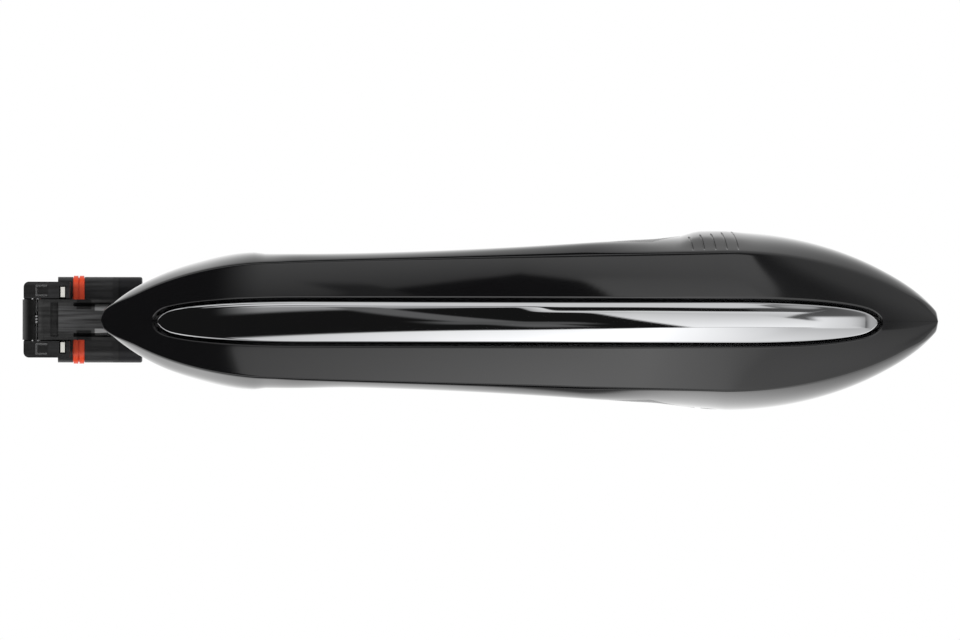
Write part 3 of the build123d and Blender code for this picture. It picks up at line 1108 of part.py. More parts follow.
with BuildPart() as plug_boot:
    add(extrude(plug_section(PLUG_REAR_X), amount=BOOT_LENGTH))
    fillet(plug_boot.faces().sort_by(Axis.X)[-1].edges(), 0.5)
    with BuildSketch(Plane(origin=(PLUG_REAR_X + BOOT_LENGTH, LEAD_Y, 0), x_dir=(0, 1, 0), z_dir=(1, 0, 0))):
        Circle(BOOT_STEM_RADIUS)
    extrude(amount=BOOT_STEM, taper=12)
    with BuildSketch(Plane(origin=(PLUG_REAR_X, LEAD_Y, 0), x_dir=(0, 1, 0), z_dir=(1, 0, 0))):
        Circle(LEAD_RADIUS)
    extrude(amount=BOOT_LENGTH + BOOT_STEM + 1, mode=Mode.SUBTRACT)
plug_boot.part.label = "plug_boot"

with BuildPart() as arm_bumper:
    add(rod_along_y([(BUMPER_X, 0)], BUMPER_RADIUS, BLOCK_FRONT_Y, ARM_BACK_Y + BUMPER_CLEARANCE))
    add(rod_along_y([(BUMPER_X, 0)], BUMPER_STEM_RADIUS, BLOCK_FRONT_Y, BLOCK_FRONT_Y + 2))
arm_bumper.part.label = "arm_bumper"

# ---------------------------------------------------------------- terminal lock

with BuildPart() as terminal_lock:
    for side in (-1, 1):
        add(slab(LOCK_X - LOCK_THICKNESS / 2, LOCK_X + LOCK_THICKNESS / 2,
                 CHEEK_FRONT_Y + 0.2, LOCK_REST_Y + LOCK_DEPTH, side * LOCK_INNER_Z, side * LOCK_OUTER_Z))
    add(slab(LOCK_X - LOCK_THICKNESS / 2, LOCK_X + LOCK_THICKNESS / 2, LOCK_REST_Y + LOCK_DEPTH - LOCK_BAR,
             LOCK_REST_Y + LOCK_DEPTH, -LOCK_OUTER_Z, LOCK_OUTER_Z))
terminal_lock.part.label = "terminal_lock"

# ---------------------------------------------------------------- wiring inside the grip

with BuildPart() as lead_grommet:
    add(rod_along_y([(LEAD_X, 0)], LEAD_RADIUS + WINDOW_CLEARANCE - SPIGOT_CLEARANCE, SKIN_Y - 0.2, FLOOR_Y))
    add(rod_along_y([(LEAD_X, 0)], LEAD_CHANNEL / 2 - 0.15, FLOOR_Y, FLOOR_Y - GROMMET_LIP))
    add(rod_along_y([(LEAD_X, 0)], HARNESS_RADIUS + SPIGOT_CLEARANCE, 0, -20), mode=Mode.SUBTRACT)
lead_grommet.part.label = "lead_grommet"

with BuildPart() as grip_harness:
    with BuildLine():
        FilletPolyline(
            (LEAD_X, BASE_Y, 0), (LEAD_X, BASE_Y - 9, 0), (LEAD_X + 14.5, BASE_Y - 14, HARNESS_Z),
            (PLUG_X - 16, BOARD_BACK_Y + CONNECTOR_HEIGHT / 2, HARNESS_Z),
            (PLUG_X - 4, BOARD_BACK_Y + CONNECTOR_HEIGHT / 2, 0),
            (PLUG_X, BOARD_BACK_Y + CONNECTOR_HEIGHT / 2, 0), radius=HARNESS_BEND,
        )
    with BuildSketch(Plane(origin=(LEAD_X, BASE_Y, 0), x_dir=(1, 0, 0), z_dir=(0, -1, 0))):
        Circle(HARNESS_RADIUS)
    sweep()
grip_harness.part.label = "grip_harness"

SENSOR_LEAD_START = (BOARD_X + BOARD_LENGTH - 4, BOARD_BACK_Y + SENSOR_LEAD_RADIUS, 3.0)
with BuildPart() as sensor_lead:
    with BuildLine():
        end = pad_plane(SENSOR_BACK).from_local_coords(Vector(-3, 0, 0))
        FilletPolyline(
            SENSOR_LEAD_START, (SENSOR_LEAD_START[0] + 9, SENSOR_LEAD_START[1] + 1.9, 4.0),
            (end.X - 5.6, end.Y - 1.1, end.Z - 7.0), pad_plane(SENSOR_BACK + 5).from_local_coords(
                Vector(-3, 0, 0)), end, radius=SENSOR_LEAD_BEND,
        )
    with BuildSketch(Plane(origin=SENSOR_LEAD_START, x_dir=(0, 0, 1), z_dir=(9, 1.9, 1.0))):
        Circle(SENSOR_LEAD_RADIUS)
    sweep()
sensor_lead.part.label = "sensor_lead"

# ---------------------------------------------------------------- return spring

with BuildPart() as return_spring:
    turn = COIL_TURNS * COIL_PITCH
    with BuildLine():
        Helix(COIL_PITCH, turn, COIL_RADIUS, center=(0, 0, -turn / 2))
    with BuildSketch(Plane(origin=(COIL_RADIUS, 0, -turn / 2), x_dir=(1, 0, 0), z_dir=(0, 1, 0))):
        Circle(WIRE_RADIUS)
    sweep(is_frenet=True)
    add(rod_along_y([(COIL_RADIUS, -turn / 2)], WIRE_RADIUS, 0, SPRING_LEG_Y))
    add(rod_along_y([(COIL_RADIUS, turn / 2)], WIRE_RADIUS, -SPRING_SHORT_LEG, 0))
return_spring.part.label = "return_spring"

SUBPARTS = (
    outer_shell, inner_cover, trim_strip, trim_tape, front_gasket, rear_gasket, cover_screws,
    hinge_arm, arm_bushes, arm_screws, rear_hook, hook_screws, hook_buffer,
    lock_electrode, sensor_board, circuit_board, board_screws, board_chips,
    courtesy_led, board_connector, light_guide, unlock_electrode, aerial_rod, aerial_coil,
    hinge_block, hinge_pin, pin_clips, plug_seal, plug_terminals, threaded_inserts, plug_boot,
    arm_bumper, terminal_lock, lead_grommet, grip_harness, sensor_lead, return_spring,
)
FRAME = Location((-INSERT_X, -BLOCK_BACK_Y, 0))
os.makedirs("parts", exist_ok=True)
for subpart in SUBPARTS:
    placed = subpart.part.moved(FRAME)
    placed.label = subpart.part.label
    export_step(placed, "parts/" + placed.label + ".step")
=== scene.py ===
"""Outside pull handle of a car door, dressed for display on a plain pale set.

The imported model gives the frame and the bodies. This script paints every node, and puts
finely shaped pieces in place of the two whose surfaces need to be smooth: the painted
outer shell and the chrome trim strip.
Sizes below are in millimetres, measured from the middle of the hinge pin.
"""

from __future__ import annotations

import json
import logging
import math
from collections.abc import Callable
from dataclasses import dataclass
from enum import Enum

import bmesh
import bpy
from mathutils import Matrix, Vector

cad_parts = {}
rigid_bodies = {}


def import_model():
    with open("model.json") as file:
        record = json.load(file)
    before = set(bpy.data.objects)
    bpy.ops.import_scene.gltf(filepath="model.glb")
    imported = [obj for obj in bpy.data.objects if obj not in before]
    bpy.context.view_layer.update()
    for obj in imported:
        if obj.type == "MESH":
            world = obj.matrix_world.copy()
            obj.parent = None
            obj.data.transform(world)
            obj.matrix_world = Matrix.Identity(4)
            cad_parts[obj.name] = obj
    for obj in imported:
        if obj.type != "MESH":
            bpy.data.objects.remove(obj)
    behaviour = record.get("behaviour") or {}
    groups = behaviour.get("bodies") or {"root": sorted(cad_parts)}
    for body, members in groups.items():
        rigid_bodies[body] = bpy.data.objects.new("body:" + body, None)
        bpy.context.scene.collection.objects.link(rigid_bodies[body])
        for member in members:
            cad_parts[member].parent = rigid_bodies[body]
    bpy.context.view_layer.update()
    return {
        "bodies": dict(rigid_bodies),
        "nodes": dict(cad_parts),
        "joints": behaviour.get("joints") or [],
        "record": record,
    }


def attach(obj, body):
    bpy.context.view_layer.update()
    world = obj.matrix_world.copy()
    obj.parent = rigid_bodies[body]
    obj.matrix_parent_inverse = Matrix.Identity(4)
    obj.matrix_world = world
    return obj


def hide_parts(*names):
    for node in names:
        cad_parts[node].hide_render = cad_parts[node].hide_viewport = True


logging.basicConfig(level=logging.INFO, format="%(message)s")
log = logging.getLogger("handle")

MM = 0.001
FIXING_X, FIXING_Y = 16.0, 17.4  # the origin, midway between the fixing holes

Pairs = list[tuple[float, float]]  # of distance from the middle line and height out from the door
Loop = list[tuple[float, float, float]]


def place(x: float, y: float, z: float) -> Vector:
    """Turns a point measured from the hinge pin into the model's frame.

    Args:
        x: Distance along the grip, in millimetres.
        y: Distance into the door.
        z: Height.

    Returns:
        The point in metres.
    """
    return Vector((x - FIXING_X, y - FIXING_Y, z)) * MM


def smooth_step(value: float, low: float, high: float) -> float:
    """Ramps smoothly from 0 at low to 1 at high.

    Args:
        value: Where on the ramp.
        low: Start of the ramp.
        high: End of the ramp.

    Returns:
        A share from 0 to 1.
    """
    share = min(max((value - low) / (high - low), 0.0), 1.0)
    return share * share * (3 - 2 * share)


def taper(distance: float, length: float, power: float) -> float:
    """Share of its full width that a shape has at a distance from its tip.

    Args:
        distance: Distance from the tip.
        length: Distance at which the full width is reached.
        power: Bluntness; lower is blunter.

    Returns:
        A share from 0 to 1.
    """
    if distance >= length:
        return 1.0
    return (1 - (1 - max(distance, 0.0) / length) ** 2) ** power


# ---------------------------------------------------------------- the grip's form

ROUND = 0.5  # power of a taper that ends in a circular arc
HAIR = 1e-4  # least width that a width is divided by


@dataclass(frozen=True)
class Swell:
    """A gentle fullness of the side wall along the grip.

    Attributes:
        height: How far it stands out.
        start: Where it starts to rise.
        full: Where the rise ends.
        fade: Where it starts to fall.
        end: Where it ends.
    """

    height: float
    start: float
    full: float
    fade: float
    end: float

    def at(self, x: float) -> float:
        """Height of the swell at x."""
        return self.height * smooth_step(x, self.start, self.full) * (1 - smooth_step(x, self.fade, self.end))


@dataclass(frozen=True)
class GripForm:
    """Sizes of the grip, and the lines of its surface."""

    front: float = 17.2
    rear: float = 231.2
    base: float = 10.5  # the feet's base, out from the pin
    tip_height: float = 5.0  # of the outer face's tips above the base
    rise: float = 26.0  # of the arch's middle above its tips

    waist: float = 16.9  # half widths at the front and at the rear
    shoulder: float = 22.7
    flare_start: float = 50.0  # from the front tip
    flare_power: float = 1.7
    reach: float = 0.45  # of the front tip, ahead of the foot
    front_nose: float = 41.0
    front_power: float = 0.83
    front_lead: float = 1.6
    front_round: float = 1.0
    rear_nose: float = 57.5
    rear_power: float = 0.704
    rear_lead: float = 0.86
    rear_round: float = 0.54
    tail_nose: float = 55.4  # of the finer taper that the very tip follows
    tail_power: float = 0.74
    tail_lead: float = 0.8
    tail_round: float = 1.6

    foot_swell: Swell = Swell(0.45, 40.0, 53.0, 55.5, 59.5)  # of both walls, just before the finger gap
    lower_swell: Swell = Swell(0.42, 20.0, 34.0, 66.0, 82.0)  # of the front foot's lower wall
    field_swell: Swell = Swell(0.95, 164.6, 169.6, 169.0, 186.0)  # of the upper wall, under the touch field
    field_low: float = 11.5  # heights between which the touch field's swell grows
    field_high: float = 18.5
    gap_swell: float = 0.11  # of both walls, from the finger gap on
    gap_swell_start: float = 48.0
    gap_swell_full: float = 60.0
    swell_top: float = 0.6  # distances below the creases at which a wall's swell has ended and is still full
    swell_fade: float = 8.0

    crease_front: float = 14.9  # half widths between the creases at the front and at the rear
    crease_rear: float = 17.9
    crease_flare_start: float = 45.0
    crease_flare_power: float = 0.8
    crease_front_nose: float = 45.0
    crease_front_power: float = 0.77
    crease_nose: float = 54.6
    crease_power: float = 0.70
    crease_edge: float = 0.95  # of the grip's width, at the tips
    crease_join: float = 9.0  # distance from the tips at which they reach their own line
    softening: float = 0.6  # of the creases towards the rear nose

    crown_radius: float = 65.0  # across the outer face
    shell_depth: float = 9.0  # from the face to the parting line, over the finger gap
    cover: float = 2.2  # height of the parting line above the base, over the feet
    land: float = 1.5  # height of the widest line above the base, over the feet
    gap_front: float = 59.0
    gap_rear: float = 169.0
    gap_ramp: float = 12.0  # length of the parting line's slopes at the gap's ends
    ramp_overrun: float = 3.0  # how far the front slope reaches into the gap
    ramp_shift: float = 1.0  # how far the rear slope ends past the gap
    blend: float = 20.0  # over which the widest line passes from foot to gap
    least_rise: float = 0.01  # least height and inset of a side wall that is bowed
    least_inset: float = 0.001

    @property
    def middle(self) -> float:
        """X of the arch's middle."""
        return (self.front + self.rear) / 2

    @property
    def radius(self) -> float:
        """Radius of the arch, seen from above."""
        half = (self.rear - self.front) / 2
        return (half**2 + self.rise**2) / (2 * self.rise)

    def top(self, x: float, depth: float = 0.0) -> float:
        """Height out from the door of the outer face's middle line.

        Args:
            x: Place along the grip.
            depth: Depth behind the face.

        Returns:
            The height, in millimetres.
        """
        centre = self.base + self.tip_height + self.rise - self.radius
        return centre + math.sqrt((self.radius - depth) ** 2 - (x - self.middle) ** 2)

    def flare(self, x: float, start: float, power: float) -> float:
        """Share of the widening towards the rear foot.

        Args:
            x: Place along the grip.
            start: Distance from the front tip at which it starts.
            power: Shape of the widening.

        Returns:
            A share from 0 to 1.
        """
        run = self.rear - self.front - self.crease_nose - start
        return min(max((x - self.front - start) / run, 0.0), 1.0) ** power

    def width(self, x: float) -> float:
        """Half the grip's width.

        Args:
            x: Place along the grip.

        Returns:
            The half width, in millimetres.
        """
        flared = self.flare(x, self.flare_start, self.flare_power)
        middle = self.waist + (self.shoulder - self.waist) * flared
        ahead, behind = x - self.front + self.reach, self.rear - x
        front = taper(ahead + self.front_lead, self.front_nose + self.front_lead, self.front_power)
        rear = taper(behind + self.rear_lead, self.rear_nose + self.rear_lead, self.rear_power)
        tail = taper(behind + self.tail_lead, self.tail_nose, self.tail_power)
        rear = max(rear * taper(behind, self.rear_round, ROUND), tail * taper(behind, self.tail_round, ROUND))
        tips = taper(ahead, self.front_round, ROUND)
        gap = self.gap_swell * smooth_step(x, self.gap_swell_start, self.gap_swell_full)
        return middle * front * rear * tips + self.foot_swell.at(x) + gap * tips

    def crease(self, x: float) -> float:
        """Half the width between the two creases.

        Args:
            x: Place along the grip.

        Returns:
            The half width, in millimetres.
        """
        flared = self.flare(x, self.crease_flare_start, self.crease_flare_power)
        middle = self.crease_front + (self.crease_rear - self.crease_front) * flared
        ahead, behind = x - self.front, self.rear - x
        front = taper(ahead, self.crease_front_nose, self.crease_front_power)
        inner = middle * front * taper(behind, self.crease_nose, self.crease_power)
        edge = self.crease_edge * self.width(x)
        return min(edge + (inner - edge) * smooth_step(min(ahead, behind), 0.0, self.crease_join), edge)

    def foot(self, x: float) -> float:
        """Tells the feet from the finger gap.

        Args:
            x: Place along the grip.

        Returns:
            1 over the feet, 0 over the finger gap and a share between them.
        """
        front = 1 - smooth_step(x, self.gap_front - self.blend, self.gap_front + self.blend / 2)
        rear = smooth_step(x, self.gap_rear - 1.5 * self.blend, self.gap_rear + self.blend / 2)
        return max(front, rear)

    def widest(self, x: float) -> float:
        """Height of the grip's widest line.

        Args:
            x: Place along the grip.

        Returns:
            The height out from the door, in millimetres.
        """
        top, foot = self.top(x), self.foot(x)
        height = (top - self.shell_depth) * (1 - foot) + (self.base + self.land) * foot
        return max(min(height, top - self.tip_height / 2), self.base + self.land)

    def shoulder_height(self, x: float) -> float:
        """Height of the creases; they soften towards the rear nose.

        Args:
            x: Place along the grip.

        Returns:
            The height out from the door, in millimetres.
        """
        width, crease, top = self.width(x), self.crease(x), self.top(x)
        crowned = self.crown_radius - math.sqrt(self.crown_radius**2 - crease**2)
        rounded = (top - self.widest(x)) * (1 - math.sqrt(max(1 - (crease / width) ** 2, 0)))
        nearness = smooth_step(x, self.rear - self.crease_nose, self.rear - self.crease_nose / 3)
        return top - crowned - max(rounded - crowned, 0.0) * nearness * self.softening

    def parting(self, x: float) -> float:
        """Height of the line between the outer shell and the inner cover.

        Args:
            x: Place along the grip.

        Returns:
            The height out from the door, in millimetres.
        """
        foot = self.base + self.cover
        rise_start, rise_end = self.gap_front - self.gap_ramp, self.gap_front + self.ramp_overrun
        fall_end = self.gap_rear + self.ramp_shift
        fall_start = fall_end - self.gap_ramp
        if x <= rise_start or x >= fall_end:
            return foot
        if x < rise_end:
            share = (x - rise_start) / (rise_end - rise_start)
            return foot + share * (self.top(rise_end, self.shell_depth) - foot)
        if x > fall_start:
            share = (fall_end - x) / (fall_end - fall_start)
            return foot + share * (self.top(fall_start, self.shell_depth) - foot)
        return self.top(x, self.shell_depth)

    def side(self, x: float, height: float, upper: bool = False) -> float:
        """Half width of the side wall at a height out from the door.

        Args:
            x: Place along the grip.
            height: Height out from the door.
            upper: Whether it is the upper wall, which swells under the touch field; the lower
                one swells at the front foot.

        Returns:
            The half width, in millimetres.
        """
        width, widest, shoulder = self.width(x), self.widest(x), self.shoulder_height(x)
        edges = 1 - smooth_step(height, shoulder - self.swell_fade, shoulder - self.swell_top)
        if upper:
            swell = self.field_swell.at(x) * edges * smooth_step(height, self.field_low, self.field_high)
        else:
            swell = self.lower_swell.at(x) * edges
        if height <= widest:
            return width + swell
        rise, inset = shoulder - widest, width - self.crease(x)
        if rise <= self.least_rise or inset <= self.least_inset:
            return width
        bow = (inset**2 + rise**2) / (2 * inset)
        return width + swell - bow + math.sqrt(max(bow**2 - (height - widest) ** 2, 0.0))

    def face(self, x: float, z: float) -> float:
        """Height of the crowned outer face.

        Args:
            x: Place along the grip.
            z: Distance from its middle line.

        Returns:
            The height out from the door, in millimetres.
        """
        crease, top = self.crease(x), self.top(x)
        drop = top - self.shoulder_height(x)
        return top - drop * (min(abs(z) / max(crease, HAIR), 1.0) ** 2)


@dataclass(frozen=True)
class TrimForm:
    """Sizes of the chrome trim strip and of its recess."""

    front: float = 31.3
    rear: float = 215.6
    half_width: float = 5.26
    front_taper: float = 38.5
    rear_taper: float = 36.0
    front_power: float = 0.32
    rear_power: float = 0.36
    tip_round: float = 4.0
    tip_power: float = 0.2
    tip_reach: float = 1.6  # how much further a grown outline reaches at its tips than at its sides

    crown_front: float = 42.5  # radius across the strip near its front, in its middle and near its rear
    crown_middle: float = 22.0
    crown_rear: float = 11.5
    front_end: float = 117.0  # of the stretch over which the front radius gives way, and its length
    front_run: float = 70.0
    front_ease: float = 1.5
    rear_start: float = 112.0  # of the stretch over which the rear radius takes over
    rear_full: float = 185.0

    drop: float = -0.4  # height of the strip's middle line over the grip's
    proud: float = 0.5  # of the strip above the face
    back: float = 2.1  # depth of its back below the face
    gap: float = 0.85  # round the strip
    recess: float = 2.4  # depth of the recess

    def width(self, x: float, grow: float = 0.0) -> float:
        """Half the strip's width at x.

        Args:
            x: Place along the grip.
            grow: Distance to grow the outline by.

        Returns:
            The half width, in millimetres, or 0 past the tips.
        """
        front, rear = self.front - self.tip_reach * grow, self.rear + self.tip_reach * grow
        if x <= front or x >= rear:
            return 0.0
        tips = taper(min(x - front, rear - x), self.tip_round, self.tip_power)
        ahead = taper(x - front, self.front_taper, self.front_power)
        behind = taper(rear - x, self.rear_taper, self.rear_power)
        return (self.half_width + grow) * ahead * behind * tips

    def crown(self, x: float) -> float:
        """Radius across the strip's crown.

        Args:
            x: Place along the grip.

        Returns:
            The radius, in millimetres.
        """
        ahead = min(max((self.front_end - x) / self.front_run, 0.0), 1.0) ** self.front_ease
        behind = smooth_step(x, self.rear_start, self.rear_full)
        front, rear = self.crown_front - self.crown_middle, self.crown_rear - self.crown_middle
        return self.crown_middle + front * ahead + rear * behind


@dataclass(frozen=True)
class TouchField:
    """Five fine grooves in the upper side wall, over the lock sensor."""

    first: float = 168.3  # of the first groove's outer end, along the grip
    pitch: float = 2.9
    width: float = 0.56
    depth: float = 0.5
    slant: float = 0.123  # run forwards for each millimetre towards the door
    outer_margin: float = 0.7  # from the crease
    inner_heights: tuple[float, ...] = (24.6, 24.0, 22.4, 20.2, 16.6)
    steps: int = 16  # along a groove
    least_depth: float = 0.02
    shallowing: float = 0.4  # share of the depth lost towards the inner end
    depth_power: int = 6  # how abruptly the depth runs out at the ends
    end_width: float = 0.35  # share of the width at the ends
    width_power: int = 8
    overrun: float = 0.5  # of the cutter, out of the wall
    probe: float = 0.5  # half the height over which the wall's slope is taken


GRIP = GripForm()
TRIM = TrimForm()
FIELD = TouchField()


# ---------------------------------------------------------------- finishes


class Surface(Enum):
    """Kinds of fine surface relief."""

    PAINT = "paint"
    CHROME = "chrome"
    MOULDED = "moulded"
    GRAINED = "grained"
    RUBBER = "rubber"
    METAL = "metal"
    LAMINATE = "laminate"
    CLEAR = "clear"


@dataclass(frozen=True)
class Zone:
    """Part of a piece that is given another colour, such as painted shade in a dip or groove, a painted
    highlight on a face, or a plain lighter or darker band.

    Attributes:
        start: Where it starts along the handle, in millimetres from the pin.
        end: Where it ends.
        inner: Distance from the middle line at which it starts.
        outer: Distance from the middle line at which it ends.
        colour: Its colour, linear.
    """

    start: float
    end: float
    inner: float
    outer: float
    colour: tuple[float, float, float]


@dataclass(frozen=True)
class Finish:
    """One material: its colours and how it takes the light.

    Attributes:
        name: Material name.
        surface: Kind of relief.
        colour: Main colour, linear.
        second: Colour that it drifts towards in soft patches.
        roughness: Mean roughness.
        spread: How far the roughness drifts each way.
        metallic: 1 for a bare metal.
        coat: Strength of a clear coat.
        grain: Size of the relief's grain, in millimetres.
        relief: Depth of the relief, in millimetres.
        zones: Parts with another colour; on the arm these are painted shade and painted highlights.
        streaks: Strength of fine lengthwise flow marks, as a share of the colour.
    """

    name: str
    surface: Surface
    colour: tuple[float, float, float]
    second: tuple[float, float, float]
    roughness: float
    spread: float = 0.04
    metallic: float = 0.0
    coat: float = 0.0
    grain: float = 0.6
    relief: float = 0.004
    zones: tuple[Zone, ...] = ()
    streaks: float = 0.0


FINISHES = {
    "paint": Finish("gloss_black_paint", Surface.PAINT, (0.004, 0.004, 0.0045), (0.006, 0.006, 0.0065),
                    0.09, 0.02, coat=1.0, grain=2.2, relief=0.0006),
    "chrome": Finish("bright_chrome", Surface.CHROME, (0.86, 0.865, 0.875), (0.80, 0.81, 0.83),
                     0.035, 0.015, metallic=1.0, grain=3.0, relief=0.0004),
    "cover": Finish("smooth_black_plastic", Surface.MOULDED, (0.006, 0.006, 0.007), (0.010, 0.010, 0.011),
                    0.24, 0.04, coat=0.15, grain=1.2, relief=0.0008),
    "arm": Finish("satin_black_nylon", Surface.GRAINED, (0.014, 0.014, 0.014), (0.024, 0.024, 0.024),
                  0.46, 0.08, grain=0.35, relief=0.010, streaks=0.75, zones=(
                      # painted highlight: a lighter band along the arm's raised middle
                      Zone(5.6, 17.2, 0.0, 3.5, (0.046, 0.046, 0.047)),
                      # painted shade in the pocket just past the pin
                      Zone(1.2, 5.6, 0.0, 3.2, (0.013, 0.013, 0.013)),
                      # painted shade in the grooves beside the raised middle
                      Zone(10.3, 14.1, 2.9, 5.3, (0.001, 0.001, 0.001)),
                      # painted highlight: a small bright wedge beside the middle, 15 to 19 mm from the pin
                      Zone(15.0, 18.9, 2.5, 3.95, (0.25, 0.25, 0.25)),
                      # painted shade darkening the knuckle bar ahead of the pin
                      Zone(-8.0, -0.5, 0.0, 9.0, (0.0025, 0.0025, 0.0025)))),
    "block": Finish("dark_moulded_nylon", Surface.GRAINED, (0.010, 0.010, 0.011), (0.020, 0.020, 0.021),
                    0.40, 0.08, grain=0.35, relief=0.008, streaks=0.5, zones=(
                        Zone(12.4, 19.2, 0.0, 12.0, (0.020, 0.020, 0.021)),
                        Zone(-8.0, 3.0, 6.0, 9.0, (0.007, 0.007, 0.007)))),
    "bush": Finish("dark_bearing_plastic", Surface.MOULDED, (0.05, 0.05, 0.05), (0.07, 0.07, 0.07), 0.5),
    "rubber": Finish("black_rubber", Surface.RUBBER, (0.012, 0.012, 0.012), (0.022, 0.022, 0.022),
                     0.62, 0.08, grain=0.4, relief=0.010),
    "boot": Finish("black_boot_rubber", Surface.RUBBER, (0.004, 0.004, 0.007), (0.008, 0.008, 0.012),
                   0.50, 0.08, grain=0.4, relief=0.008, zones=(
                       Zone(18.9, 19.35, 0.0, 12.0, (0.002, 0.002, 0.002)),
                       Zone(19.35, 21.0, 0.0, 12.0, (0.014, 0.014, 0.015)),
                       Zone(21.0, 21.35, 0.0, 12.0, (0.002, 0.002, 0.002)))),
    "seal": Finish("orange_red_silicone", Surface.RUBBER, (0.92, 0.085, 0.014), (0.74, 0.045, 0.010),
                   0.30, 0.05, grain=0.5, relief=0.006),
    "white": Finish("white_nylon", Surface.MOULDED, (0.78, 0.77, 0.72), (0.68, 0.67, 0.62), 0.38),
    "pin": Finish("ground_steel", Surface.METAL, (0.62, 0.62, 0.62), (0.52, 0.52, 0.53), 0.24, metallic=1.0),
    "screw": Finish("zinc_plated_steel", Surface.METAL, (0.55, 0.56, 0.58), (0.45, 0.45, 0.44), 0.32,
                    metallic=1.0),
    "brass": Finish("plain_brass", Surface.METAL, (0.74, 0.53, 0.22), (0.60, 0.42, 0.17), 0.30, metallic=1.0),
    "tinned": Finish("tin_plated_brass", Surface.METAL, (0.72, 0.69, 0.62), (0.62, 0.58, 0.50), 0.26,
                     metallic=1.0),
    "copper": Finish("lacquered_copper", Surface.METAL, (0.66, 0.30, 0.15), (0.52, 0.22, 0.10), 0.28,
                     metallic=1.0, grain=0.25, relief=0.02),
    "ferrite": Finish("grey_ferrite", Surface.GRAINED, (0.055, 0.052, 0.05), (0.08, 0.075, 0.07), 0.6),
    "laminate": Finish("green_laminate", Surface.LAMINATE, (0.008, 0.075, 0.03), (0.012, 0.11, 0.045), 0.3),
    "chip": Finish("black_package", Surface.MOULDED, (0.012, 0.012, 0.012), (0.02, 0.02, 0.02), 0.5),
    "led": Finish("pale_resin", Surface.MOULDED, (0.82, 0.74, 0.42), (0.75, 0.66, 0.35), 0.2),
    "clear": Finish("clear_acrylic", Surface.CLEAR, (0.93, 0.95, 0.96), (0.9, 0.92, 0.94), 0.08),
}

NODE_FINISH = {
    "outer_shell": "paint", "trim_strip": "chrome", "inner_cover": "cover",
    "trim_tape": "rubber", "front_gasket": "rubber", "rear_gasket": "rubber", "lead_grommet": "rubber",
    "cover_screws": "screw", "arm_screws": "screw", "hook_screws": "screw", "board_screws": "screw",
    "hinge_arm": "arm", "rear_hook": "arm", "arm_bushes": "bush", "hook_buffer": "rubber",
    "lock_electrode": "copper", "sensor_board": "laminate",
    "circuit_board": "laminate", "board_chips": "chip", "courtesy_led": "led", "board_connector": "white",
    "light_guide": "clear", "unlock_electrode": "copper", "aerial_rod": "ferrite", "aerial_coil": "copper",
    "hinge_block": "block", "hinge_pin": "pin", "pin_clips": "pin", "plug_seal": "seal",
    "plug_terminals": "tinned", "threaded_inserts": "brass", "plug_boot": "boot", "arm_bumper": "rubber",
    "terminal_lock": "white", "grip_harness": "rubber", "sensor_lead": "rubber", "return_spring": "pin",
}


